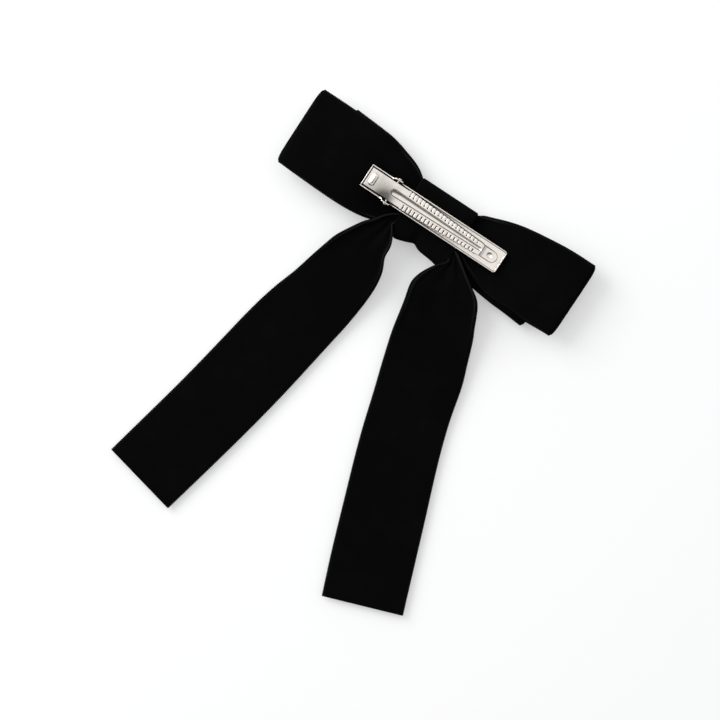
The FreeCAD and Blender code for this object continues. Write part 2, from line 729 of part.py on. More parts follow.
def cut_comb(body):
    """The comb: one slot from the groove's side out through the skirt, repeated along it, both sides."""
    slot = make_sketch(body, "comb_slot", "XY_Plane", lift=JAW_RISE, shift=("-thumb_bend", "0"),
                       tilt=PLATE_TILT)
    start = "(comb_start + thumb_bend + slot_width)"
    narrowing = f"(({start} - {GROOVE_BACK}) / ({GROOVE_NOSE} - {GROOVE_BACK}))"
    inner = f"(groove_back - (groove_back - groove_nose) * {narrowing} + metal + slot_land)"
    draw(slot, block(start, f"{start} + slot_width", inner, f"{COMB_ROOT} / 2 + metal"))
    ends = [(GROOVE_BACK, "groove_back"), (GROOVE_NOSE, "groove_nose")]
    spots = [FreeCAD.Vector(number(x), number(y), 0) for x, y in ends]
    edge = slot.addGeometry(Part.LineSegment(*spots), True)
    for end, (x, y) in enumerate(ends, start=1):
        fix_point(slot, edge, end, x, y)
    first = pocket(body, "comb_first_slot", slot)
    comb = body.newObject("PartDesign::MultiTransform", "comb_slots")
    comb.Originals = [first]
    row = body.newObject("PartDesign::LinearPattern", "comb_row")
    row.Direction = (slot, ["Axis0"])
    row.Mode = "Spacing"
    row.Occurrences = int(number(f"{COMB_END} - comb_start - 2 * slot_width") / size("slot_pitch")) + 1
    row.setExpression("Offset", bound("slot_pitch"))
    pair = body.newObject("PartDesign::Mirrored", "comb_pair")
    pair.MirrorPlane = (plane(body, "XZ_Plane"), [""])
    comb.Transformations = [row, pair]
    body.Tip = comb
    doc.recompute()


def finish_lever(body):
    """The spring's anchor on the thumb pad, the dimple in the tip and the holes for the pin."""
    middle = f"(boss_inset - {PAD_LENGTH})"
    frame = {"lift": KNEE_TOP, "shift": (f"-{KNEE}", "0"), "tilt": PAD_TILT}
    boss = make_sketch(body, "anchor_boss", "XY_Plane", **frame)
    round_end = "(boss_width / 2)"
    flat = "(boss_length / 2 - boss_width / 2)"
    right = [
        (middle, "-boss_length / 2", round_end, 1),
        (f"{middle} + {round_end}", f"-{flat}"),
        (f"{middle} + {round_end}", flat, round_end, 1),
        (middle, "boss_length / 2", round_end, 1),
        (f"{middle} - {round_end}", flat),
        (f"{middle} - {round_end}", f"-{flat}", round_end, 1),
    ]
    draw(boss, right)
    pad(body, "anchor_raised", boss, "boss_height", slope="boss_slope")
    mouth = make_sketch(body, "anchor_slot", "XY_Plane", **frame)
    draw(mouth, block(f"{middle} - boss_slot / 2", f"{middle} + boss_slot / 2", f"-{flat}", flat))
    pocket(body, "anchor_mouth", mouth, both=True)
    dimple = make_sketch(body, "tip_dimple", "XY_Plane", lift=TIP_TOP)
    draw_circle(dimple, f"{TIP_END} - dimple_inset", "0", "dimple_radius")
    pocket(body, "tip_mark", dimple, "dimple_depth", slope="dimple_slope")
    bores = make_sketch(body, "flange_bores", "XZ_Plane")
    draw_circle(bores, "0", "0", "pin_radius + pin_fit")
    pocket(body, "flange_holes", bores, both=True)


def make_clip_jaw():
    body = make_body("clip_jaw")
    place(body, x=f"clip_shift + {PIN_X}", y="clip_lift", z=f"{CLIP_LEVEL} + pin_height")
    make_lever_sheet(body)
    trim_lever(body)
    emboss_groove(body)
    cut_comb(body)
    finish_lever(body)


def make_leaf_spring():
    """The spring: a strip bent into a V behind the pin, one leg on the tray, one under the thumb pad."""
    body = make_body("leaf_spring")
    place(body, x="clip_shift", y="clip_lift", z=CLIP_LEVEL)
    outer = "(spring_bend + spring_strip)"
    bend_x = f"({PIN_X} - spring_back - {outer})"
    bend_z = f"(metal + lay_gap / 2 + {outer})"
    foot = f"(pin_inset - spring_back - {outer} - metal - spring_margin)"
    run = f"({foot} - spring_short)"
    leg = f"sqrt({run} ^ 2 + spring_lift ^ 2)"
    strip = make_sketch(body, "spring_side", "XZ_Plane")

    def leg_start(radius):
        return f"{bend_x} + {radius} * spring_lift / {leg}", f"{bend_z} + {radius} * {run} / {leg}"

    outer_x, outer_z = leg_start(outer)
    inner_x, inner_z = leg_start("spring_bend")
    draw(strip, [
        (f"{bend_x} - {foot}", f"{bend_z} - {outer}"),
        (bend_x, f"{bend_z} - {outer}", outer, 1),
        (outer_x, outer_z),
        (f"{outer_x} - {run}", f"{outer_z} + spring_lift"),
        (f"{inner_x} - {run}", f"{inner_z} + spring_lift"),
        (inner_x, inner_z, "spring_bend", -1),
        (bend_x, f"{bend_z} - spring_bend"),
        (f"{bend_x} - {foot}", f"{bend_z} - spring_bend"),
    ])
    pad(body, "spring_strip", strip, "spring_width", both=True)


make_clip_jaw()
make_leaf_spring()

NODES = [
    "knot_band", "front_loop", "rear_loop", "left_tail", "right_tail", "binding_thread",
    "clip_glue", "clip_base", "clip_jaw", "pivot_pin", "leaf_spring",
]


def check_and_export():
    """Stops at a failed feature or a broken solid, then writes one file for each node."""
    doc.recompute()
    for item in doc.Objects:
        if {"Invalid", "Error"} & set(item.State):
            raise RuntimeError(f"{item.Name} failed: {item.State}")
    os.makedirs("parts", exist_ok=True)
    for name in NODES:
        node = next(item for item in doc.Objects if item.Label == name)
        shape = node.Shape
        if shape.isNull() or not shape.isValid() or not shape.Solids:
            raise RuntimeError(f"{name} has no valid solid")
        shape.exportStep(f"parts/{name}.step")
        box = shape.BoundBox
        print(f"{name}: {len(shape.Solids)} solid, {len(shape.Faces)} faces, {shape.Volume:.1f} mm3,"
              f" x {box.XMin:.2f}..{box.XMax:.2f} y {box.YMin:.2f}..{box.YMax:.2f}"
              f" z {box.ZMin:.2f}..{box.ZMax:.2f}")


check_and_export()
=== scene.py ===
from math import atan2, copysign, cos, pi, radians, sin

import bpy
import numpy as np
from mathutils import Matrix, Vector


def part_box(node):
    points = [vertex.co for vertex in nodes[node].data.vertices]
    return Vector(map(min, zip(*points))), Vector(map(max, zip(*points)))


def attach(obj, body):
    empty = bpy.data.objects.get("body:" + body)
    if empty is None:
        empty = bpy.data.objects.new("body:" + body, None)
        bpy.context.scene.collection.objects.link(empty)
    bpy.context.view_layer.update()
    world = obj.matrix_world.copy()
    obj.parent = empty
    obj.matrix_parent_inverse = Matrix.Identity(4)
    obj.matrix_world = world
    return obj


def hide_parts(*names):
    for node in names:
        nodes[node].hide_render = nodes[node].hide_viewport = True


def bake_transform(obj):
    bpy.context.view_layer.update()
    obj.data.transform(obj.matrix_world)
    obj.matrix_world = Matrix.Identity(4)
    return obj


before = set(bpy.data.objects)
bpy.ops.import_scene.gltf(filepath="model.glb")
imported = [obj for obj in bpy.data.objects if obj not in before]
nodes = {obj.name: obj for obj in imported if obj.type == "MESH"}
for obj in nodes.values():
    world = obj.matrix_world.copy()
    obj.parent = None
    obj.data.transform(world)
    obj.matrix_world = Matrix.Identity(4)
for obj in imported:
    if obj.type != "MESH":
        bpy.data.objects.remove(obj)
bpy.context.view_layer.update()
print("frame: loaded", len(nodes), "pieces")

# Lengths below are in millimetres unless a note says otherwise, and become metres in toMesh.
mm = 0.001


def eased(x):
    x = np.clip(x, 0, 1)
    return x * x * (3 - 2 * x)


def distances(points):
    # how far each point is from the first, measured along the line through them
    return np.concatenate([[0], np.cumsum(np.sqrt((np.diff(points, axis=0) ** 2).sum(1)))])


def unit(vectors):
    # the same directions, each 1 long
    return vectors / (np.linalg.norm(vectors, axis=-1, keepdims=True) + 1e-9)


def splineThrough(points, count):
    # a natural cubic spline through the points, by the distance between them
    points = np.array(points, float)
    along = distances(points)
    gaps = np.diff(along)
    size = len(points)
    system, right = np.eye(size), np.zeros_like(points)
    for i in range(1, size - 1):
        before, after = gaps[i - 1], gaps[i]
        system[i, i - 1:i + 2] = before / 6, (before + after) / 3, after / 6
        right[i] = (points[i + 1] - points[i]) / after - (points[i] - points[i - 1]) / before
    bend = np.linalg.solve(system, right)
    spots = np.linspace(0, along[-1], count)
    left = np.clip(np.searchsorted(along, spots, side="right") - 1, 0, size - 2)
    gap = gaps[left][:, None]
    a = (along[left + 1][:, None] - spots[:, None]) / gap
    b = 1 - a
    return (a * points[left] + b * points[left + 1]
            + ((a ** 3 - a) * bend[left] + (b ** 3 - b) * bend[left + 1]) * gap ** 2 / 6)


def lineAt(places, x):
    # height at x of a smooth line through the places
    line = splineThrough(places, 600)
    return np.interp(x, line[:, 0], line[:, 1])


def evenRows(rows, step, closed=False):
    # the same surface with its rows a step apart along its middle
    if closed:
        rows = np.concatenate([rows, rows[:1]])
    along = distances(rows[:, rows.shape[1] // 2, :3])
    count = max(4, 2 * int(round(along[-1] / step / 2)))
    spots = np.linspace(0, along[-1], count + 1)
    if closed:
        spots = spots[:-1]
    flat = rows.reshape(len(rows), -1)
    even = np.stack([np.interp(spots, along, flat[:, k]) for k in range(flat.shape[1])], 1)
    return even.reshape(len(spots), *rows.shape[1:])


def toMesh(name, points, faces, uvs=None, rub=None):
    mesh = bpy.data.meshes.new(name)
    mesh.from_pydata([tuple(p) for p in np.asarray(points) * mm], [], faces)
    # each point's share of the painted sheen, which the velvet reads
    if rub is not None:
        mesh.attributes.new("rub", "FLOAT", "POINT").data.foreach_set("value", rub.astype(np.float32))
    if uvs is not None:
        layer = mesh.uv_layers.new(name="weave")
        corners = np.array([loop.vertex_index for loop in mesh.loops])
        layer.data.foreach_set("uv", np.asarray(uvs)[corners].astype(np.float32).ravel())
    mesh.shade_smooth()
    piece = bpy.data.objects.new(name, mesh)
    bpy.context.scene.collection.objects.link(piece)
    return piece


def tubeFaces(rings, around, closed):
    faces = []
    for i in range(rings if closed else rings - 1):
        here, there = i * around, (i + 1) % rings * around
        for j in range(around):
            nxt = (j + 1) % around
            faces.append((here + j, here + nxt, there + nxt, there + j))
    return faces


def capped(rings, around):
    # the faces of a tube that is closed by one face at each end
    last = (rings - 1) * around
    ends = [tuple(range(around))[::-1], tuple(last + j for j in range(around))]
    return tubeFaces(rings, around, False) + ends


# velvet ribbon: a woven ground with a pile on both faces and a looped selvedge along each edge
ribbon = {
    "width": 39.5,
    "pile": 1.05,  # thickness through the pile
    "ground": 0.42,  # thickness of the bare selvedge
    "selvedge": 0.6,  # width of the bare selvedge
    "pileRise": 0.5,  # over how much of the width the pile reaches its full height
    "picot": 0.15,  # how far each selvedge loop stands out
    "picotPitch": 0.92,
    "rim": [0, 0.3, 0.6, 0.85, 1.1, 1.5, 1.9, 2.4],  # where the first columns are, from each edge
    "inner": 3.2, "columns": 36,  # and the even ones between
    "foldGap": 0.28,  # columns this close where it is folded
    "crestIn": 1.6,  # where a gathered edge curls over, from the edge
    "crest": 0.8,  # how high it curls
    # widths of the curled crest and of the painted sheen along it
    "crestWidth": 1.2, "paintedSheenWidth": 0.5,
}


def acrossStops(closeFrom=None, closeTo=None):
    # columns across the ribbon from 0 to 1, closer together at its rims and where it is folded
    width = ribbon["width"]
    inner = np.linspace(ribbon["inner"], width - ribbon["inner"], ribbon["columns"])
    if closeFrom:
        fromMiddle = np.abs(inner - width / 2)
        inner = inner[(fromMiddle < closeFrom) | (fromMiddle > closeTo)]
        close = np.arange(closeFrom, closeTo, ribbon["foldGap"])
        inner = np.sort(np.concatenate([inner, width / 2 + close, width / 2 - close]))
    stops = np.concatenate([ribbon["rim"], inner, width - np.array(ribbon["rim"][::-1])])
    return stops / width


def fromEdgeOf(stops):
    return np.minimum(stops, 1 - stops) * ribbon["width"]


def crestOf(stops, width):
    return np.exp(-((fromEdgeOf(stops) - ribbon["crestIn"]) / width) ** 2)


def velvetRibbon(name, rows, stops, closed=False):
    # rows: places on the middle surface and how much painted sheen the pile has there; stops: where the
    # columns are
    rows = evenRows(rows, ribbon["picotPitch"] / 2, closed)
    rows, rub = rows[:, :, :3], rows[:, :, 3]
    count, columns = rows.shape[:2]
    if closed:
        along = np.roll(rows, -1, 0) - np.roll(rows, 1, 0)
    else:
        along = np.gradient(rows, axis=0)
    across = np.gradient(rows, axis=1)
    normal = unit(np.cross(along, across))
    sideways = unit(np.stack([rows[:, 0] - rows[:, 1], rows[:, -1] - rows[:, -2]], 1))
    rise = eased((fromEdgeOf(stops) - ribbon["selvedge"]) / ribbon["pileRise"])
    thick = ribbon["ground"] + (ribbon["pile"] - ribbon["ground"]) * rise
    lift = normal * (thick / 2)[None, :, None]
    picots = ribbon["picot"] * (1 + np.where(np.arange(count) % 2, -1, 1))[:, None]
    first = rows[:, 0] + sideways[:, 0] * picots
    last = rows[:, -1] + sideways[:, 1] * np.roll(picots, 1, 0)
    ring = np.concatenate([rows + lift, last[:, None], (rows - lift)[:, ::-1], first[:, None]], 1)
    rub = np.concatenate([rub, rub[:, -1:], rub[:, ::-1], rub[:, :1]], 1)
    around = ring.shape[1]
    faces = tubeFaces(count, around, closed)
    if not closed:
        for start, turned in ((0, True), ((count - 1) * around, False)):
            for j in range(columns - 1):
                quad = [start + j, start + j + 1, start + 2 * columns - 1 - j, start + 2 * columns - j]
                faces.append(tuple(quad if turned else quad[::-1]))
            tips = [(start + columns - 1, start + columns, start + columns + 1),
                    (start + around - 2, start + around - 1, start)]
            faces += [t if turned else t[::-1] for t in tips]
    distance = np.arange(count) * ribbon["picotPitch"] / 2
    place = np.concatenate([stops, [1], stops[::-1], [0]]) * ribbon["width"]
    uvs = np.stack(np.broadcast_arrays(distance[:, None], place[None, :]), 2).reshape(-1, 2) * mm
    return toMesh(name, ring.reshape(-1, 3), faces, uvs, rub.ravel())


# loops: each a ring of ribbon, pinched flat in the knot
# the edges are places along and up from the knot's middle; "backFoot" is the lower edge of the back ply
rearFootLeft = [(-79.0, -14.9), (-59.3, -15.7), (-46.7, -16.0), (-40.1, -15.9), (-33.7, -15.4),
                (-27.6, -14.3), (-22.0, -12.4)]
rearLoop = {
    "name": "rear_loop", "left": 78.1, "right": 75.7, "low": 6.0, "high": 11.25, "waist": 5.65,
    "edge": [(-79.0, 24.9), (-62.0, 24.85), (-50.6, 24.6), (-39.4, 24.2), (-33.8, 23.2), (-28.2, 21.6),
             (-22.6, 19.8), (-19.2, 18.2), (-16.2, 16.1), (-13.0, 14.1), (0.0, 13.9), (13.0, 13.8),
             (15.6, 15.0), (17.9, 16.5), (20.7, 17.6), (26.0, 19.5), (31.6, 21.3), (37.2, 22.6),
             (48.4, 24.2), (59.6, 25.3), (70.9, 25.55), (77.0, 25.5)],
    "foot": rearFootLeft + [
        (-17.0, -10.6), (-13.0, -9.8), (0.0, -9.6), (13.0, -9.8), (18.0, -11.4), (24.0, -12.9),
        (31.0, -14.0), (40.0, -14.6), (52.7, -14.6), (62.5, -14.1), (73.8, -13.5), (77.0, -13.4)],
    "backFoot": rearFootLeft + [
        (-17.0, -9.6), (-13.0, -8.0), (0.0, -6.5), (13.0, -5.2), (20.0, -5.9), (24.1, -8.2),
        (27.5, -9.7), (35.6, -12.4), (43.6, -13.3), (52.7, -13.1), (62.5, -13.4), (73.8, -13.4),
        (77.0, -13.4)],
    "pleat": 0.75, "turn": 0.4,
}
frontLoop = {
    "name": "front_loop", "left": 60.4, "right": 62.2, "low": 0.1, "high": 5.9, "waist": 3.35,
    "edge": [(-61.5, 25.65), (-50.6, 25.1), (-42.0, 24.3), (-34.0, 22.6), (-28.2, 20.8), (-22.6, 18.6),
             (-19.2, 16.9), (-16.2, 15.0), (-13.0, 13.8), (0.0, 13.7), (13.0, 13.6), (15.6, 14.3),
             (17.9, 15.5), (20.7, 16.8), (26.0, 18.9), (31.6, 20.6), (37.2, 21.8), (48.4, 22.8),
             (63.0, 22.7)],
    "foot": [(-61.5, -13.5), (-48.0, -14.6), (-38.0, -14.9), (-31.0, -14.3), (-25.0, -12.9),
             (-19.0, -11.0), (-13.0, -9.7), (0.0, -9.6), (13.0, -9.8), (18.0, -11.6), (24.0, -13.2),
             (31.0, -14.4), (37.6, -15.2), (43.7, -15.8), (50.1, -16.15), (56.4, -16.6), (61.0, -16.9),
             (63.4, -16.9)],
    "pleat": 0.6, "turn": 2.1,
}
# what both loops share, with distances measured out from the knot's middle
loops = {
    "steps": 160, "bendSteps": 24,  # places along a ply, and round a fold
    "pinch": 14.0, "shoulder": 46.0,  # the plies lie together up to here, and part up to there
    "slack": 0.02,  # half of the gap between them where they lie together
    "pleats": 2.5, "pleatReach": 13.0,  # how many pleats cross the ribbon, and how far they run on
    "pleatFrom": 9.0, "pleatRise": 7.0, "pleatLeast": 0.12,  # where they rise, and their least share
    "pleatFoot": 0.55, "pleatShift": 0.9,  # share of a pleat's height at the foot; turn on the right
    "curlAt": 22.0, "curlReach": 12.0, "curl": 0.6,  # where the edges curl over, and how much of the crest
    "swell": 0.16, "ripple": 0.10,  # heights of the soft unevenness past the knot
    "swellWave": 11.0, "rippleWave": 6.1,
    "swellFrom": 20.0, "swellRise": 15.0, "swellEnd": 8.0,
    "corner": 1.1, "cornerFrom": 0.85,  # how much a corner is cut, and from what share of the reach
}


def loopRows(loop, stops):
    half = ribbon["pile"] / 2
    low, high = loop["low"] + half, loop["high"] - half
    bendRadius = (high - low) / 2
    # one side view of the ring, walked round from the middle of its lower ply
    sides = []
    for reach, sign in ((loop["right"], 1), (loop["left"], -1)):
        end = reach - half - bendRadius
        flat = np.linspace(0, end, loops["steps"])
        bend = np.linspace(-pi / 2, pi / 2, loops["bendSteps"])[1:-1]
        lower = [(x, -1.0) for x in flat]
        fold = [(end + bendRadius * cos(a), sin(a)) for a in bend]
        upper = [(x, 1.0) for x in flat[::-1]]
        sides.append([(sign * x, level, reach) for x, level in lower + fold + upper])
    walk = np.array(sides[0] + sides[1][::-1][1:-1])
    x, level, reach = walk[:, :1], walk[:, 1:2], walk[:, 2:]
    away = np.abs(x)
    # plies lie together in the knot and part beyond it
    apart = eased((away - loops["pinch"]) / (loops["shoulder"] - loops["pinch"])) ** 0.8
    middle = loop["waist"] + ((low + high) / 2 - loop["waist"]) * apart
    gap = half + loops["slack"] + (bendRadius - half) * apart
    edge = lineAt(loop["edge"], x)
    foot = lineAt(loop["foot"], x)
    if "backFoot" in loop:
        foot = foot + (lineAt(loop["backFoot"], x) - foot) * eased(level / 2 + 0.5)
    t = stops[None, :]
    y = foot + (edge - foot) * t
    # pleats fan out of the knot and fade towards the shoulder; both plies share them
    fade = np.exp(-((away - loops["pinch"]).clip(0) / loops["pleatReach"]) ** 1.3)
    fade = fade * np.clip((away - loops["pleatFrom"]) / loops["pleatRise"], loops["pleatLeast"], 1)
    turn = loop["turn"]
    uneven = loops["pleats"] * t + 0.10 * np.sin(3 * t + turn)
    wave = np.cos(2 * pi * uneven + turn + np.where(x > 0, loops["pleatShift"], 0))
    pleats = loop["pleat"] * fade * wave * (loops["pleatFoot"] + (1 - loops["pleatFoot"]) * t)
    # the edges curl over a little beside the knot, with a painted sheen along their crests
    curl = np.exp(-((away - loops["curlAt"]) / loops["curlReach"]) ** 2)
    rub = crestOf(stops, ribbon["paintedSheenWidth"]) * curl
    crest = ribbon["crest"] * loops["curl"] * crestOf(stops, ribbon["crestWidth"]) * curl
    # soft unevenness of the plies between the knot and the end folds
    swell = loops["swell"] * np.sin(x / loops["swellWave"] + turn) * np.sin(pi * t)
    swell = swell + loops["ripple"] * np.sin(x / loops["rippleWave"] + 4 * t + turn)
    swell = swell * eased((away - loops["swellFrom"]) / loops["swellRise"])
    swell = swell * np.clip((reach - away) / loops["swellEnd"], 0, 1)
    z = middle + gap * level + pleats + (swell + crest) * np.abs(level)
    # the end folds are stiffer along the selvedges, which cuts their corners a little
    corner = loops["corner"] * np.abs(2 * t - 1) ** 9
    cut = eased((away / reach - loops["cornerFrom"]) / (1 - loops["cornerFrom"]))
    shrink = 1 - corner / reach * cut
    return np.stack([np.broadcast_to(x, z.shape) * shrink, y + 0 * z, z, rub + 0 * z], 2)


def makeLoop(loop, node):
    stops = acrossStops()
    piece = velvetRibbon(loop["name"] + "_ribbon", loopRows(loop, stops), stops, closed=True)
    length = 2 * (loop["left"] + loop["right"])
    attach(piece, "bow")
    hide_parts(node)
    length * mm
    return piece


rearLoopPiece = makeLoop(rearLoop, "rear_loop")
frontLoopPiece = makeLoop(frontLoop, "front_loop")
print("loops: made")


# tails: gathered in the knot, they fan out over the rear loop and fall towards the floor
# the places of each edge run from inside the knot to the cut end
leftTail = {
    "name": "left_tail", "length": 196.0, "turn": 0.3,
    "inner": [(-1.0, -9.0, 8.2), (-8.0, -8.8, 8.4), (-13.6, -8.7, 9.6), (-15.5, -10.2, 10.9),
              (-13.6, -13.2, 11.3), (-11.4, -17.0, 10.7), (-10.5, -20.6, 10.0), (-10.3, -24.4, 9.3),
              (-8.8, -28.2, 8.4), (-7.1, -32.8, 7.4), (-6.2, -39.6, 5.8), (-6.2, -45.2, 4.6),
              (-6.8, -53.6, 3.2), (-8.0, -63.6, 2.0), (-9.2, -71.0, 1.5), (-14.2, -101.7, 0.9),
              (-20.4, -133.7, 0.8), (-27.5, -165.7, 0.8), (-31.3, -182.3, 0.7)],
    "outer": [(-1.0, -2.4, 8.2), (-8.0, -2.5, 8.5), (-13.6, -3.2, 9.4), (-18.4, -5.9, 10.4),
              (-21.8, -9.0, 10.9), (-24.9, -13.2, 11.0), (-27.2, -15.6, 10.8), (-29.6, -19.1, 10.3),
              (-31.9, -22.9, 9.6), (-34.9, -28.3, 8.2), (-36.9, -34.0, 6.8), (-38.2, -38.4, 5.6),
              (-40.3, -46.0, 3.9), (-42.6, -54.5, 2.7), (-45.1, -61.8, 1.9), (-52.5, -93.3, 0.9),
              (-58.6, -125.4, 0.8), (-65.6, -157.3, 0.8), (-69.2, -173.6, 0.7)],
}
rightTail = {
    "name": "right_tail", "length": 194.0, "turn": 1.7,
    "inner": [(1.0, -9.0, 8.2), (8.0, -8.8, 8.4), (13.4, -8.4, 9.7), (15.2, -10.4, 11.0),
              (12.8, -13.4, 11.6), (10.0, -17.3, 11.1), (7.9, -21.4, 10.3), (6.5, -26.8, 9.4),
              (7.0, -31.0, 8.4), (8.0, -34.9, 7.4), (9.7, -42.8, 5.4), (11.3, -50.8, 3.8),
              (13.4, -58.7, 2.6), (15.6, -66.3, 1.8), (20.4, -82.0, 1.2), (24.9, -97.4, 0.9),
              (35.4, -128.2, 0.8), (46.4, -158.9, 0.8), (53.3, -176.8, 0.7)],
    "outer": [(1.0, -2.4, 8.2), (8.0, -2.5, 8.5), (13.4, -3.4, 9.5), (18.4, -5.9, 10.4),
              (23.6, -9.3, 11.0), (29.8, -13.4, 11.1), (34.0, -16.0, 10.5), (37.9, -19.3, 9.5),
              (40.6, -23.9, 8.5), (43.1, -29.4, 7.2), (45.3, -33.9, 6.2), (47.2, -38.5, 5.2),
              (50.0, -46.2, 3.9), (52.9, -53.9, 2.7), (56.9, -69.2, 1.5), (61.6, -85.1, 0.9),
              (72.8, -115.6, 0.8), (84.2, -146.2, 0.8), (90.6, -163.4, 0.7)],
}
# what both tails share, with distances measured along them from the knot's side
tails = {
    "steps": 900,
    "leastHeight": 2.2,  # of its middle surface over the floor
    "knotSide": 15.0,  # this far from where the edges' places begin
    # a trough, ripples across it and curled edges each rise from a start and die out over a reach
    "trough": 1.3, "troughStart": -2.4, "troughRise": 8.0, "troughFrom": 8.0, "troughReach": 32.0,
    "ripple": 0.55, "ripples": 3, "rippleStart": -4.8, "rippleRise": 8.0, "rippleReach": 17.0,
    "curlStart": -4.8, "curlRise": 6.0, "curlReach": 38.0,
    "lie": 0.16, "wave": 0.18, "flutter": 0.10,  # heights of the unevenness further down
    "waveLength": 19.0, "flutterLength": 9.7,
    "lieFrom": 45.0, "lieRise": 30.0,
}


def tailRows(tail, stops):
    edges = splineThrough([i + o for i, o in zip(tail["inner"], tail["outer"])], tails["steps"])
    inner, outer = edges[:, None, :3], edges[:, None, 3:]
    rows = inner + (outer - inner) * stops[None, :, None]
    out = distances(edges[:, :3] / 2 + edges[:, 3:] / 2)[:, None] - tails["knotSide"]
    t = stops[None, :]
    turn = tail["turn"]
    # edges curl towards the back, and the middle sinks into a valley that dies out down the fan
    trough = tails["trough"] * eased((out - tails["troughStart"]) / tails["troughRise"])
    trough = trough * np.exp(-((out - tails["troughFrom"]).clip(0) / tails["troughReach"]) ** 1.6)
    valley = (2 * t - 1) ** 2 - 0.55
    ripple = tails["ripple"] * eased((out - tails["rippleStart"]) / tails["rippleRise"])
    ripple = ripple * np.exp(-(out.clip(0) / tails["rippleReach"]) ** 1.5)
    folds = np.cos(2 * pi * tails["ripples"] * t + turn + 0.02 * out)
    curl = eased((out - tails["curlStart"]) / tails["curlRise"])
    curl = curl * np.exp(-(out.clip(0) / tails["curlReach"]) ** 3)
    # painted sheen along the curled crests
    rub = crestOf(stops, ribbon["paintedSheenWidth"]) * curl
    crest = ribbon["crest"] * crestOf(stops, ribbon["crestWidth"]) * curl
    # further down it lies unevenly, a little over the floor
    lie = tails["wave"] * np.sin(out / tails["waveLength"] + turn) * np.sin(pi * t + 0.4)
    lie = lie + tails["flutter"] * np.sin(out / tails["flutterLength"] + 3 * t) + tails["lie"]
    lie = lie * eased((out - tails["lieFrom"]) / tails["lieRise"])
    height = rows[:, :, 2] + trough * valley + ripple * folds + crest + lie
    rows[:, :, 2] = np.hypot(height, tails["leastHeight"])
    return np.concatenate([rows, rub[:, :, None] + 0 * rows[:, :, :1]], 2)


def makeTail(tail, node):
    stops = acrossStops()
    piece = velvetRibbon(tail["name"] + "_ribbon", tailRows(tail, stops), stops)
    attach(piece, "bow")
    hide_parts(node)
    return piece


leftTailPiece = makeTail(leftTail, "left_tail")
rightTailPiece = makeTail(rightTail, "right_tail")
print("tails: made")


# knot: a band of the same ribbon round the waist, its edges turned under, with a pleat in its foot
knot = {
    "top": 16.05, "foot": 15.3, "back": 11.8,
    "headHalf": 15.6, "footHalf": 12.6,
    "narrowFrom": 9.0,  # height below the middle where its sides begin to draw in
    "corner": 2.6,  # radius of its folds
    "turnUnder": 0.56,  # radius of the turned edges
    "turnedFrom": 11.0, "turnedTo": 17.0,  # where the ribbon's columns stand close for that
    "length": 82.0,
    "footLine": [(-16.0, -15.0), (-12.0, -15.3), (-8.3, -14.4), (-5.4, -13.4), (-3.2, -12.5), (-2.0, -12.3),
                 (-0.6, -13.0), (3.1, -14.1), (7.6, -14.5), (10.5, -15.0), (12.9, -15.5), (16.0, -15.5)],
    "creaseX": -2.3, "creaseHalf": 2.4, "creaseSink": 1.2,
    "gather": 0.12, "gatherWave": 5.4636, "gatherReach": 11.0,  # height, spacing and reach of its gathers
    "faceHalf": 4.0,  # this far from the middle of its depth, gathers and crease are full
    # strength and width of the painted sheen along its turned edges
    "rub": 0.5, "paintedSheenWidth": 0.5,
    "steps": 360, "cornerSteps": 12, "smooth": 0.3,  # places round it, and how far its bends are eased
}


def knotRows(stops):
    half = ribbon["pile"] / 2
    low, high = half, knot["back"] - half
    top, foot = knot["top"] - half, -knot["foot"] + half
    corner = knot["corner"]
    # its side view is a rounded rectangle, walked round from the middle of the back
    path = [(0.0, high)]
    for y, z in [(foot, high), (foot, low), (top, low), (top, high)]:
        sy, sz = (1 if y > 0 else -1), (1 if z > (low + high) / 2 else -1)
        centre = (y - sy * corner, z - sz * corner)
        first = atan2(sz, 0) if (sy < 0) == (sz > 0) else atan2(0, sy)
        for k in range(knot["cornerSteps"] + 1):
            angle = first + k / knot["cornerSteps"] * pi / 2
            path.append((centre[0] + corner * cos(angle), centre[1] + corner * sin(angle)))
    path = np.array(path + [path[0]])
    along = distances(path)

    def placeAt(spots):
        return np.stack([np.interp(spots % along[-1], along, path[:, k]) for k in (0, 1)], 1)

    spots = np.linspace(0, along[-1], knot["steps"] + 1)[:-1]
    y, z = placeAt(spots)[:, :1], placeAt(spots)[:, 1:]
    step = unit(placeAt(spots + knot["smooth"]) - placeAt(spots - knot["smooth"]))
    inward = np.stack([-step[:, 1], step[:, 0]], 1)
    # the ribbon's edges are turned under, more where the band narrows
    narrow = eased((-y - knot["narrowFrom"]) / (knot["foot"] - knot["narrowFrom"]))
    bandHalf = knot["headHalf"] + (knot["footHalf"] - knot["headHalf"]) * narrow
    radius = knot["turnUnder"]
    across = (stops[None, :] - 0.5) * ribbon["width"]
    past = np.abs(across) - (bandHalf - half - radius)
    angle = np.clip(past / radius, 0, pi)
    flatPart = np.abs(across) - past.clip(0)
    x = np.sign(across) * (flatPart + radius * np.sin(angle) - (past - pi * radius).clip(0))
    depth = radius * (1 - np.cos(angle))
    below = np.clip(y / foot, 0, 1)
    crease = np.exp(-((x - knot["creaseX"]) / knot["creaseHalf"]) ** 2)
    lift = lineAt(knot["footLine"], x) + knot["foot"]
    over = z - (low + high) / 2
    outward = np.clip(over / knot["faceHalf"], -1, 1)
    sink = knot["creaseSink"] * crease * eased(below * 1.3 - 0.1)
    gather = knot["gather"] * np.cos(2 * pi * x / knot["gatherWave"] + 0.6)
    gather = gather * np.exp(-(y / knot["gatherReach"]) ** 4)
    # painted sheen along its turned edges
    rub = knot["rub"] * np.exp(-((past - radius) / knot["paintedSheenWidth"]) ** 2)
    return np.stack([x + 0 * z, y + inward[:, :1] * depth + lift * below ** 1.3,
                     z + inward[:, 1:] * depth + (gather - sink) * outward, rub], 2)


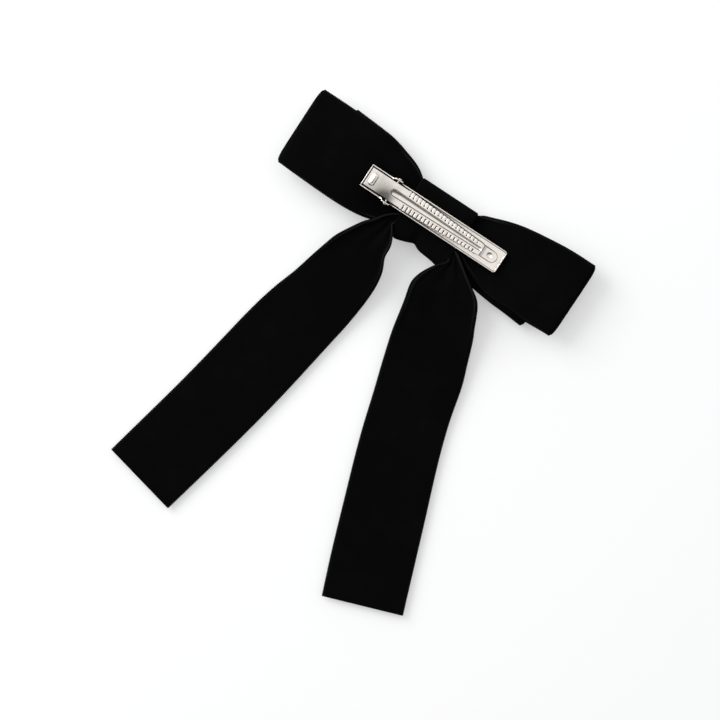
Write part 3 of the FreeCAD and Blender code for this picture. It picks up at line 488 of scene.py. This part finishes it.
def makeKnot():
    stops = acrossStops(knot["turnedFrom"], knot["turnedTo"])
    piece = velvetRibbon("knot_band_ribbon", knotRows(stops), stops, closed=True)
    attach(piece, "bow")
    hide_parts("knot_band")
    return piece


knotPiece = makeKnot()
print("knot: made")


# thread wound round the waist under the band, turn beside turn
thread = {
    "radius": 0.19, "turns": 6, "across": 2.4, "corner": 2.2,
    "foot": -10.6, "top": 14.3, "low": 1.75, "high": 9.9,
    "steps": 72, "around": 8,  # points of one turn, and round the thread itself
}


def makeThread():
    steps, around = thread["steps"] * thread["turns"], thread["around"]
    corner = thread["corner"]
    middleY, middleZ = (thread["foot"] + thread["top"]) / 2, (thread["low"] + thread["high"]) / 2
    halfY, halfZ = (thread["top"] - thread["foot"]) / 2, (thread["high"] - thread["low"]) / 2
    ring = []
    for k in range(steps + 1):
        turn = 2 * pi * k / thread["steps"]
        cy, cz = cos(turn), sin(turn)
        # a rounded rectangle: the round part pushed out to the straight parts
        y = middleY + np.clip(cy * 1.5, -1, 1) * (halfY - corner) + corner * cy
        z = middleZ + np.clip(cz * 1.5, -1, 1) * (halfZ - corner) + corner * cz
        x = (k / steps - 0.5) * (thread["across"] - 2 * thread["radius"])
        for j in range(around):
            a = 2 * pi * j / around
            side, out = thread["radius"] * cos(a), thread["radius"] * sin(a)
            ring.append((x + side, y + out * cy, z + out * cz))
    piece = toMesh("wound_thread", ring, capped(steps + 1, around))
    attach(piece, "bow")
    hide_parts("binding_thread")
    return piece


threadPiece = makeThread()

# glue squeezed flat between the band and the clip, with an uneven rim
glue = {
    "soak": 0.25,  # how far it soaks into the pile
    "around": 64,
    "square": 5, "narrow": 0.98,  # how square its outline is, and how much of the width it takes
    "rings": [(0.5, 1), (0.93, 1), (1.0, 0.6), (1.02, 0), (1.0, -0.7), (0.93, -1), (0.5, -1)],
    "waves": [(0.035, 3, 0.7), (0.025, 7, 0.0), (0.015, 13, 2.0)],  # of its rim: height, count, start
}


def makeGlue():
    low, high = (np.array(p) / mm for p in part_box("clip_glue"))
    middle, size = (low + high) / 2, (high - low) / 2
    rings, around, power = glue["rings"], glue["around"], glue["square"]
    points = []
    bottom = low[2] - glue["soak"]
    for reach, level in rings:
        for j in range(around):
            a = 2 * pi * j / around
            wander = 1 + sum(wave * sin(count * a + start) for wave, count, start in glue["waves"])
            out = reach * wander * (abs(cos(a)) ** power + abs(sin(a)) ** power) ** (-1 / power)
            points.append((middle[0] + size[0] * out * cos(a),
                           middle[1] + size[1] * out * sin(a) * glue["narrow"],
                           (high[2] + bottom) / 2 + (high[2] - bottom) / 2 * level))
    piece = toMesh("glue_film", points, [face[::-1] for face in capped(len(rings), around)])
    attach(piece, "bow")
    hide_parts("clip_glue")
    return piece


gluePiece = makeGlue()
print("thread and glue: made")


# spring of the clip: bends between the tray and the lever
spring = {
    "width": 5.0, "leaf": 0.35, "bend": 1.2, "turn": 152,  # the turn of its bend in degrees
    "footIn": 0.5, "legIn": 1.2, "legDown": 0.1,  # how far its ends stop short, and lie lower
    "tipRound": 1.4, "tipNarrow": 0.55,  # length of its rounded tips, and how narrow
    "steps": 90, "bendSteps": 12,
}


def makeSpring():
    low, high = (np.array(p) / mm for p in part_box("leaf_spring"))
    half = spring["leaf"] / 2
    footLevel = low[2] + half
    bendX = high[0] - half - spring["bend"]
    path = [(low[0] + spring["footIn"], footLevel), (bendX, footLevel)]
    for k in range(1, spring["bendSteps"] + 1):
        angle = -pi / 2 + k / spring["bendSteps"] * radians(spring["turn"])
        path.append((bendX + spring["bend"] * cos(angle),
                     footLevel + spring["bend"] + spring["bend"] * sin(angle)))
    path.append((low[0] + spring["legIn"], high[2] - half - spring["legDown"]))
    path = np.array(path)
    along = distances(path)
    spots = np.linspace(0, along[-1], spring["steps"])
    x, z = np.interp(spots, along, path[:, 0]), np.interp(spots, along, path[:, 1])
    dx, dz = np.gradient(x), np.gradient(z)
    size = np.hypot(dx, dz)
    nx, nz = -dz / size, dx / size
    middle = (low[1] + high[1]) / 2
    fromTip = np.minimum(spots, along[-1] - spots)
    tip = (1 - np.clip(fromTip / spring["tipRound"], 0, 1)) ** 2
    reach = spring["width"] / 2 * np.sqrt(1 - tip * spring["tipNarrow"])
    ring = []
    for k in range(len(spots)):
        for side, face in ((-1, 1), (1, 1), (1, -1), (-1, -1)):
            ring.append((x[k] + face * half * nx[k], middle + side * reach[k], z[k] + face * half * nz[k]))
    piece = toMesh("clip_spring", ring, capped(len(spots), 4))
    piece.data.shade_flat()
    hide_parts("leaf_spring")
    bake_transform(piece)
    return piece


springPiece = makeSpring()


# hook of the spring, which stands in the slot of the thumb pad
# each row of "levels" is a height along it, a share of the full size, and whether it is the wider head
hook = {
    "place": (-34.35, 2.6, 20.28), "lean": 15.6, "around": 24,
    "stem": (0.42, 1.35), "head": (0.56, 1.62),  # radius of its round ends, half of its straight part
    "levels": [(-1.0, 1.0, "stem"), (0.46, 1.0, "stem"), (0.5, 0.92, "head"), (0.58, 1.0, "head"),
               (0.73, 1.0, "head"), (0.89, 0.8, "head"), (0.95, 0.5, "head")],
}


def makeHook():
    lean = radians(hook["lean"])
    x, y, z = hook["place"]
    ring, around = [], hook["around"]
    for level, share, part in hook["levels"]:
        radius, half = hook[part]
        for j in range(around):
            a = 2 * pi * j / around
            side = radius * share * cos(a)
            end = radius * share * sin(a) + copysign(half, sin(a) + 1e-9)
            ring.append((x + side * cos(lean) + level * sin(lean), y + end,
                         z - side * sin(lean) + level * cos(lean)))
    piece = toMesh("spring_hook", ring, capped(len(hook["levels"]), around))
    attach(piece, "lever")
    return piece


hookPiece = makeHook()

# fine rounding of the pressed edges of the steel parts
pressed = {"clip_base": 0.07, "clip_jaw": 0.05, "pivot_pin": 0.05}
for node, size in pressed.items():
    rounding = nodes[node].modifiers.new("pressed edges", "BEVEL")
    rounding.width = size * mm
    rounding.segments = 2
    rounding.limit_method = "ANGLE"
    rounding.angle_limit = radians(40)
print("clip: spring and edges made")


class Wire:
    # a socket that can be added, subtracted and multiplied

    def __init__(self, finish, socket):
        self.finish, self.socket = finish, socket

    def __add__(self, other):
        return self.finish.maths("ADD", self, other)

    def __sub__(self, other):
        return self.finish.maths("SUBTRACT", self, other)

    def __rsub__(self, other):
        return self.finish.maths("SUBTRACT", other, self)

    def __mul__(self, other):
        return self.finish.maths("MULTIPLY", self, other)

    __radd__ = __add__
    __rmul__ = __mul__


class Finish:
    # a material, or the sky, built node by node

    def __init__(self, name, tree=None, **constants):
        if tree is None:
            self.material = bpy.data.materials.new(name)
            self.material.use_nodes = True
            tree = self.material.node_tree
        self.tree = tree
        self.tree.nodes.clear()
        self.constants = constants

    def add(self, kind, settings=None, inputs=None, out=0):
        node = self.tree.nodes.new(kind)
        for key, value in (settings or {}).items():
            setattr(node, key, value)
        for key, value in (inputs or {}).items():
            self.feed(node.inputs[key], value)
        return Wire(self, node.outputs[out]) if node.outputs else None

    def feed(self, socket, value):
        if isinstance(value, Wire):
            self.tree.links.new(value.socket, socket)
        elif socket.type == "RGBA" and len(value) == 3:
            socket.default_value = (*value, 1)
        else:
            socket.default_value = value

    def maths(self, operation, first, second=0.0):
        return self.add("ShaderNodeMath", {"operation": operation}, {0: first, 1: second})

    def least(self, first, second):
        return self.maths("MINIMUM", first, second)

    def most(self, first, second):
        return self.maths("MAXIMUM", first, second)

    def parts(self, vector):
        # the three numbers of a vector
        node = self.add("ShaderNodeSeparateXYZ", None, {"Vector": vector}).socket.node
        return [Wire(self, socket) for socket in node.outputs]

    def place(self):
        # where a point lies on its piece, in metres
        return self.add("ShaderNodeTexCoord", out=3)

    def noise(self, place, scale, detail=3.0):
        return self.add("ShaderNodeTexNoise", None, {"Vector": place, "Scale": scale, "Detail": detail})

    def mix(self, share, first, second):
        # the node's sockets 6 and 7 are its two colours
        return self.add("ShaderNodeMix", {"data_type": "RGBA"}, {0: share, 6: first, 7: second}, out=2)

    def ranged(self, value, fromLow, fromHigh, low=0.0, high=1.0):
        return self.add("ShaderNodeMapRange", {"clamp": True}, {
            "Value": value, "From Min": fromLow, "From Max": fromHigh, "To Min": low, "To Max": high})

    # one past a limit, up to a limit, or between two, all in millimetres and with soft ends
    def past(self, value, low, soft):
        return self.ranged(value, (low - soft) * mm, low * mm)

    def upTo(self, value, high, soft):
        return self.ranged(value, high * mm, (high + soft) * mm, 1.0, 0.0)

    def within(self, value, low, high, soft):
        return self.past(value, low, soft) * self.upTo(value, high, soft)

    def bump(self, height, strength, distance, normal=None):
        inputs = {"Height": height, "Strength": strength, "Distance": distance}
        if normal:
            inputs["Normal"] = normal
        return self.add("ShaderNodeBump", None, inputs)

    def close(self, **varying):
        named = {key.replace("_", " "): value for key, value in {**self.constants, **varying}.items()}
        shader = self.add("ShaderNodeBsdfPrincipled", None, named)
        self.add("ShaderNodeOutputMaterial", None, {"Surface": shader})
        return self.material


velvet = {
    "pile": (0.0019, 0.0019, 0.0019),
    "brushed": (0.0026, 0.0026, 0.0026),
    "rubbedAndSheen": (0.0148, 0.0148, 0.0152),  # painted sheen where a gathered edge curls over
    "selvedge": (0.0044, 0.0044, 0.0045),
    "nap": 95.0, "patch": 32.0, "tufts": 2600.0,  # scales of its clouding and of its pile
    "brushedShare": (0.46, 0.62), "rubbedAndSheenShare": (0.35, 1.15), "paintedSheenUneven": 0.35,
    "bareEase": 0.4,  # from the bare selvedge to the pile, in millimetres
    "rough": (0.86, 0.98),
    "depth": 0.2, "relief": 0.5, "napRelief": 0.6,  # the pile's relief: millimetres, strength, nap's share
}


def makeVelvet():
    look = Finish("black velvet", Specular_IOR_Level=0.02)
    place = look.place()
    nap, patch = look.noise(place, velvet["nap"]), look.noise(place, velvet["patch"], 2.0)
    tufts = look.add("ShaderNodeTexVoronoi", None, {"Vector": place, "Scale": velvet["tufts"]})
    across = look.parts(look.add("ShaderNodeUVMap", {"uv_map": "weave"}))[1]
    fromEdge = look.least(across, ribbon["width"] * mm - across)
    bare = look.upTo(fromEdge, ribbon["selvedge"], velvet["bareEase"])
    brushed = look.ranged(nap * 0.5 + patch * 0.5, *velvet["brushedShare"])
    # painted sheen, lighter than the pile, where the crests curl over and the edges turn under
    rub = look.add("ShaderNodeAttribute", {"attribute_name": "rub"}, out=2)
    rubbedAndSheen = look.ranged(rub + (nap - 0.5) * velvet["paintedSheenUneven"], *velvet["rubbedAndSheenShare"])
    colour = look.mix(brushed, velvet["pile"], velvet["brushed"])
    colour = look.mix(rubbedAndSheen, colour, velvet["rubbedAndSheen"])
    colour = look.mix(bare, colour, velvet["selvedge"])
    rough = look.ranged(nap, 0.3, 0.7, *velvet["rough"])
    relief = look.bump(tufts + nap * velvet["napRelief"], velvet["relief"], velvet["depth"] * mm)
    return look.close(Base_Color=colour, Roughness=rough, Normal=relief)


# places along the clip, and across it from its middle line, in millimetres
lever = {
    "middle": 2.6, "halfWidth": 4.6, "sideEdge": 0.24, "endEdge": 0.408,
    "end": -37.5, "knee": -31.4, "bend": -25.2, "level": -19.4,  # its pad, up to its straight part
    "lipFrom": -36.3, "crownAt": -1.6,
    "comb": (-17.0, 24.0), "combHalf": (4.85, 2.95), "plateHalf": (2.3, 1.5),
    "step": (26.0, 27.2), "stepHeight": 0.9,
    "nose": (31.4, 2.5), "dimple": (29.95, 1.25), "dimpleDepth": 0.38,  # places and radii
    "boss": -33.9, "bossHalf": 1.85, "bossRound": (1.40, 0.75), "bossHeight": 0.40, "bossTilt": 0.12,
    "groove": (-22.8, 24.3), "grooveHalf": (1.75, 0.80), "grooveDepth": 0.35,
    # how the pad's face is pressed: slopes, and the curvatures that change them
    "slope": 0.253, "hollow": 28.0, "tail": 12.0, "lip": 150.0,
    "easeSlope": 0.295, "crown": 8.0, "crownGrowth": 3500.0,
}
tray = {"wall": 5.3, "floor": 12.65}  # foot of its walls, and height of its floor

# painted shade beside an edge: from where, to where and how softly, in millimetres, and how dark of 1
shadeLines = {
    "root": (-0.6, 0.55, 0.25), "rootDark": 0.85,
    "strip": (-0.2, 0.38, 0.16), "stripDark": 0.85,
    "stripEnd": (29.0, 2.5), "stripIn": 0.45,  # its end along the clip, and how far it draws in
    "nose": (-0.1, 0.12, 0.12), "noseDark": 0.55,
    "foot": (-0.22, 0.1, 0.08), "footDark": 0.85,
    "step": (-0.2, 0.15, 0.1), "stepDark": 0.8,
    # where the floor stays bright instead: this far past the plate, and inside the comb's edge
    "brightPlate": (0.8, 0.35), "brightComb": (0.1, 0.1),
}
nickel = {
    "bright": (0.88, 0.835, 0.78),
    "rubbedAndSheen": (0.77, 0.725, 0.67),
    "recessShade": (0.060, 0.040, 0.030),  # painted shade in slots and corners
    "gap": (0.014, 0.011, 0.010),  # and painted near-black shade in the gap where the lever stands against the walls
    # for the painted shade: how far such a place is felt, how open it is, and from which side
    "deepReach": 4.8, "deepOpen": (0.18, 0.66), "deepSide": (0.0, -0.42, 0.91),
    "cornerReach": 1.2, "cornerOpen": (0.45, 0.82),
    "cloud": 160.0, "grain": 1400.0, "lines": (140.0, 1900.0, 1900.0), "rubbedAndSheenShare": (0.38, 0.66),
    "lineHeight": 0.004, "grainHeight": 0.006, "lineRough": 0.05, "rough": (0.15, 0.24),
    "rounding": 0.30,  # radius of the pressed edges
}


class Nickel(Finish):
    # plated steel with painted shade in its recesses, its drawn lines and softly pressed edges

    def __init__(self, name):
        super().__init__(name, Metallic=1.0)
        self.at = self.place()
        self.along, across, self.above = self.parts(self.at)
        self.beside = across - lever["middle"] * mm
        self.side = self.maths("ABSOLUTE", self.beside)
        self.cloud = self.noise(self.at, nickel["cloud"], 4.0)
        self.grain = self.noise(self.at, nickel["grain"], 2.0)

    def line(self, fromX, toX, fromY, toY):
        # a value that runs straight from one place of the clip to another, all in millimetres
        return self.ranged(self.along, fromX * mm, toX * mm, fromY * mm, toY * mm)

    def fromCore(self, beyond, beside):
        # distance from a straight core, where beyond is how far a point lies past its end
        beyond = self.most(beyond, 0.0)
        return self.maths("SQRT", beyond * beyond + beside * beside)

    def darkened(self, spared=None, shaded=None):
        # the plating's colour, with painted shade in recesses except where spared, and a darker painted
        # shade where the given mask asks for it
        deep = self.add("ShaderNodeAmbientOcclusion", {"samples": 16}, {
            "Distance": nickel["deepReach"] * mm, "Normal": nickel["deepSide"]}, out=1)
        corner = self.add("ShaderNodeAmbientOcclusion", {"samples": 12}, {
            "Distance": nickel["cornerReach"] * mm}, out=1)
        rubbedAndSheen = self.ranged(self.cloud * 0.5 + self.grain * 0.5, *nickel["rubbedAndSheenShare"])
        colour = self.mix(rubbedAndSheen, nickel["bright"], nickel["rubbedAndSheen"])
        hollow = self.ranged(deep, *nickel["deepOpen"], 1.0, 0.0)
        pinch = self.ranged(corner, *nickel["cornerOpen"], 1.0, 0.0)
        if spared:
            hollow, pinch = hollow * (1.0 - spared), pinch * (1.0 - spared)
        colour = self.mix(hollow, colour, nickel["recessShade"])
        colour = self.mix(pinch, colour, nickel["recessShade"])
        return self.mix(shaded, colour, nickel["gap"]) if shaded else colour

    def finished(self, colour, height=0.0):
        stretch = self.add("ShaderNodeMapping", None, {"Vector": self.at, "Scale": nickel["lines"]})
        lines = self.noise(stretch, 1.0)
        rough = self.ranged(self.cloud, 0.35, 0.65, *nickel["rough"]) + lines * nickel["lineRough"]
        rounded = self.add("ShaderNodeBevel", {"samples": 6}, {"Radius": nickel["rounding"] * mm})
        relief = lines * (nickel["lineHeight"] * mm) + self.grain * (nickel["grainHeight"] * mm) + height
        return self.close(Base_Color=colour, Roughness=rough, Normal=self.bump(relief, 1.0, 1.0, rounded))


def makeNickel():
    look = Nickel("bright nickel")
    return look.finished(look.darkened())


def makeTrayNickel():
    look = Nickel("tray nickel")
    combFrom, combTo = lever["comb"]
    combEdge = look.line(combFrom, combTo, *lever["combHalf"])
    plateEdge = look.line(combFrom, combTo, *lever["plateHalf"])
    # under the comb's far row the floor is spared the painted shade, but for a painted shadow at the root
    # of each slot
    comb = look.within(look.along, combFrom - 1.0, combTo + 2.0, 0.5)
    fromPlate = look.beside - plateEdge
    spared = look.past(fromPlate, *shadeLines["brightPlate"]) * comb
    spared = spared * look.past(combEdge - look.beside, *shadeLines["brightComb"])
    root = look.within(fromPlate, *shadeLines["root"]) * comb * shadeLines["rootDark"]
    # painted shadow: a dark strip beside the lever, and a thin one round its nose and along the foot of
    # each wall
    drawnIn = look.line(combTo, lever["step"][0], 0.0, shadeLines["stripIn"])
    strip = look.within(look.beside - combEdge + drawnIn, *shadeLines["strip"])
    strip = strip * look.upTo(look.along, *shadeLines["stripEnd"]) * shadeLines["stripDark"]
    noseX, noseRadius = lever["nose"]
    fromNose = look.fromCore(look.along - noseX * mm, look.beside) - noseRadius * mm
    outline = look.within(fromNose, *shadeLines["nose"]) * look.past(look.along, lever["step"][0], 0.5)
    foot = look.within(look.side - tray["wall"] * mm, *shadeLines["foot"]) * shadeLines["footDark"]
    # painted shade: the floor is painted black in the gap beside the thumb pad
    gap = look.within(look.side, lever["halfWidth"] - 0.1, tray["wall"] + 0.1, 0.05)
    gap = gap * look.within(look.along, lever["end"] - 2.0, combFrom, 0.2)
    shaded = look.most(look.most(strip, outline * shadeLines["noseDark"]), look.most(foot, gap))
    shaded = look.most(shaded, root) * look.upTo(look.above, tray["floor"] + 0.15, 0.3)
    return look.finished(look.darkened(spared, shaded))


def makeLeverNickel():
    look = Nickel("lever nickel")
    # the thumb pad is pressed in one soft curve, along it and across it, and eases into the lever
    fromKnee = look.along - lever["knee"] * mm
    inner = look.least(look.most(fromKnee, 0.0), (lever["bend"] - lever["knee"]) * mm)
    outer = look.least(fromKnee, 0.0)
    lip = look.least(look.along - lever["lipFrom"] * mm, 0.0)
    pad = inner * (lever["slope"] - inner * lever["hollow"])
    pad = pad - outer * outer * lever["tail"] - lip * lip * lever["lip"]
    easeLength = lever["level"] - lever["bend"]
    easing = look.upTo(look.along, lever["bend"], easeLength)
    fromCrown = look.beside - lever["crownAt"] * mm
    crown = fromCrown * fromCrown * (lever["crown"] + inner * lever["crownGrowth"])
    pad = pad + easing * easing * (lever["easeSlope"] * easeLength * mm - crown)
    # a raised oval near its end holds the spring
    fromBoss = look.along - lever["boss"] * mm
    bossOut, bossIn = lever["bossRound"]
    boss = look.add("ShaderNodeMapRange", {"interpolation_type": "SMOOTHSTEP"}, {
        "Value": look.fromCore(look.side - lever["bossHalf"] * mm, fromBoss),
        "From Min": bossOut * mm, "From Max": bossIn * mm})
    boss = boss * (lever["bossHeight"] * mm + fromBoss * lever["bossTilt"])
    # its groove has a round bottom, and so has the dimple of its nose
    grooveFrom, grooveTo = lever["groove"]
    half = look.line(grooveFrom, grooveTo, *lever["grooveHalf"])
    beyond = look.most(grooveFrom * mm - look.along, look.along - grooveTo * mm)
    share = look.add("ShaderNodeMath", {"operation": "DIVIDE", "use_clamp": True}, {
        0: look.fromCore(beyond, look.side), 1: half})
    groove = (share * share - 1.0) * half * lever["grooveDepth"]
    step = look.line(*lever["step"], -lever["stepHeight"], 0.0)
    dimpleX, radius = lever["dimple"]
    fromDimple = look.along - dimpleX * mm
    inDimple = (fromDimple * fromDimple + look.side * look.side) * (1.0 / (radius * mm) ** 2)
    dimple = (look.least(inDimple, 1.0) - 1.0) * lever["dimpleDepth"] * mm
    # painted shade: its edges are painted dark where they stand against the tray's walls, and so is the
    # foot of its step
    endEdge = look.upTo(look.along, lever["end"] + lever["endEdge"], 0.1)
    sideEdge = look.upTo(look.beside, lever["sideEdge"] - lever["halfWidth"], 0.1)
    shaded = look.most(endEdge, sideEdge * look.upTo(look.along, lever["bend"], 3.0))
    stepFoot = look.within(look.along - lever["step"][0] * mm, *shadeLines["step"]) * shadeLines["stepDark"]
    facingUp = look.parts(look.add("ShaderNodeTexCoord", out=1))[2]
    shaded = look.most(shaded, stepFoot) * look.ranged(facingUp, 0.55, 0.75)
    # the comb's far row keeps less of the painted shade
    farRow = look.past(look.beside, 0.5, 0.5)
    return look.finished(look.darkened(farRow, shaded), pad + boss + groove + dimple + step)


# three plain finishes; "span" is where in the pattern the roughness starts and stops changing
springSteel = {
    "cloud": 420.0, "dark": (0.34, 0.33, 0.33), "pale": (0.46, 0.44, 0.43),
    "span": (0.3, 0.7), "rough": (0.25, 0.42),
}
blackThread = {
    "twist": 900.0, "dark": (0.004, 0.004, 0.004), "pale": (0.014, 0.014, 0.015),
    "span": (0.0, 1.0), "rough": (0.5, 0.8),
}
clearGlue = {
    "cloud": 300.0, "dark": (0.42, 0.39, 0.32), "pale": (0.55, 0.52, 0.45),
    "span": (0.3, 0.7), "rough": (0.12, 0.3),
}


def twoToned(look, pattern, tones):
    return look.close(Base_Color=look.mix(pattern, tones["dark"], tones["pale"]),
                      Roughness=look.ranged(pattern, *tones["span"], *tones["rough"]))


def makeSpringSteel():
    look = Finish("spring steel", Metallic=1.0)
    return twoToned(look, look.noise(look.place(), springSteel["cloud"], 4.0), springSteel)


def makeThreadFinish():
    look = Finish("black thread", Specular_IOR_Level=0.3)
    twist = look.add("ShaderNodeTexWave", {"bands_direction": "DIAGONAL"}, {
        "Vector": look.place(), "Scale": blackThread["twist"]})
    return twoToned(look, twist, blackThread)


def makeGlueFinish():
    look = Finish("clear glue", IOR=1.48)
    return twoToned(look, look.noise(look.place(), clearGlue["cloud"]), clearGlue)


finishes = {
    "velvet": makeVelvet(), "nickel": makeNickel(), "tray": makeTrayNickel(), "lever": makeLeverNickel(),
    "spring_steel": makeSpringSteel(), "thread": makeThreadFinish(), "glue": makeGlueFinish(),
}


def dress(piece, finish):
    piece.data.materials.clear()
    piece.data.materials.append(finishes[finish])


for piece in (rearLoopPiece, frontLoopPiece, leftTailPiece, rightTailPiece, knotPiece):
    dress(piece, "velvet")
dress(springPiece, "spring_steel")
dress(hookPiece, "nickel")
dress(threadPiece, "thread")
dress(gluePiece, "glue")
for node, finish in (("clip_base", "tray"), ("clip_jaw", "lever"), ("pivot_pin", "nickel")):
    dress(nodes[node], finish)
print("materials: made")


studio = {
    "target": (6.526, -72.518, 0.0), "distance": 1000.0, "tilt": 4.5, "roll": 33.408,
    "lens": 105.26, "sensor": 36.0, "near": 10.0, "far": 50000.0,
    "floor": 4000.0, "floorDrop": 0.3,  # its width, and how far it lies under the bow
    "paper": ((0.950, 0.957, 0.968), (0.958, 0.965, 0.974)),
    "floorGlow": 0.38,  # share of plain white in the floor as the camera sees it
    # brightness of the sky, and of its dim side, which lies this way; it is bright at the horizon
    "bright": 1.0, "dim": 0.12, "dimSide": (0.549, -0.833, 0.0), "dimShare": (0.12, 0.50),
    "horizon": 0.06,
    "keyPlace": (-1050.0, 120.0, 700.0), "keySize": 900.0, "keyPower": 11.5,  # power in watts
}


def makeCamera():
    tilt, roll = radians(studio["tilt"]), radians(studio["roll"])
    back = Vector((0, sin(tilt), cos(tilt)))
    right = Vector((cos(roll), sin(roll), 0))
    right = (right - back * right.dot(back)).normalized()
    up = back.cross(right)
    data = bpy.data.cameras.new("camera")
    data.lens, data.sensor_width = studio["lens"], studio["sensor"]
    data.clip_start, data.clip_end = studio["near"] * mm, studio["far"] * mm
    camera = bpy.data.objects.new("camera", data)
    bpy.context.scene.collection.objects.link(camera)
    place = Vector(studio["target"]) + back * studio["distance"]
    turn = Matrix((right, up, back)).transposed().to_4x4()
    camera.matrix_world = Matrix.Translation(place * mm) @ turn
    bpy.context.scene.camera = camera


def makeFloor():
    half = studio["floor"] / 2 * mm
    corners = [(-half, -half, 0), (half, -half, 0), (half, half, 0), (-half, half, 0)]
    mesh = bpy.data.meshes.new("floor")
    mesh.from_pydata(corners, [], [(0, 1, 2, 3)])
    floor = bpy.data.objects.new("floor", mesh)
    floor.location.z = -studio["floorDrop"] * mm
    bpy.context.scene.collection.objects.link(floor)
    look = Finish("floor")
    cloud = look.noise(look.place(), 3.0)
    paper = look.add("ShaderNodeBsdfDiffuse", None, {"Color": look.mix(cloud, *studio["paper"])})
    glow = look.add("ShaderNodeEmission", None, {"Color": (1.0, 1.0, 1.0), "Strength": 1.0})
    # the camera sees some of it as plain white, and so do metal and glass
    path = look.add("ShaderNodeLightPath").socket.node
    camera, glossy, through = (Wire(look, path.outputs["Is %s Ray" % kind])
                               for kind in ("Camera", "Glossy", "Transmission"))
    share = (camera + glossy + through) * studio["floorGlow"]
    seen = look.add("ShaderNodeMixShader", None, {0: share, 1: paper, 2: glow})
    look.add("ShaderNodeOutputMaterial", None, {"Surface": seen})
    mesh.materials.append(look.material)


def makeKeyLamp():
    place = Vector(studio["keyPlace"]) * mm
    data = bpy.data.lights.new("key", "AREA")
    data.shape, data.size, data.energy = "DISK", studio["keySize"] * mm, studio["keyPower"]
    lamp = bpy.data.objects.new("key", data)
    lamp.location = place
    lamp.rotation_euler = (-place).to_track_quat("-Z", "Y").to_euler()
    bpy.context.scene.collection.objects.link(lamp)


def makeWorld():
    world = bpy.data.worlds.new("studio")
    bpy.context.scene.world = world
    world.use_nodes = True
    sky = Finish("sky", tree=world.node_tree)
    toward = sky.add("ShaderNodeTexCoord", out=0)
    aboveHorizon = sky.ranged(sky.parts(toward)[2], 0.0, studio["horizon"])
    sideways = sky.add("ShaderNodeVectorMath", {"operation": "DOT_PRODUCT"}, {
        0: toward, 1: studio["dimSide"]}, out=1)
    dim = sky.ranged(sideways, *studio["dimShare"]) * aboveHorizon
    strength = studio["bright"] - dim * (studio["bright"] - studio["dim"])
    light = sky.add("ShaderNodeBackground", None, {"Color": (1.0, 1.0, 1.0), "Strength": strength})
    sky.add("ShaderNodeOutputWorld", None, {"Surface": light})


makeCamera()
makeFloor()
makeWorld()
makeKeyLamp()
bpy.context.scene.view_settings.view_transform = "Standard"
print("studio: set")
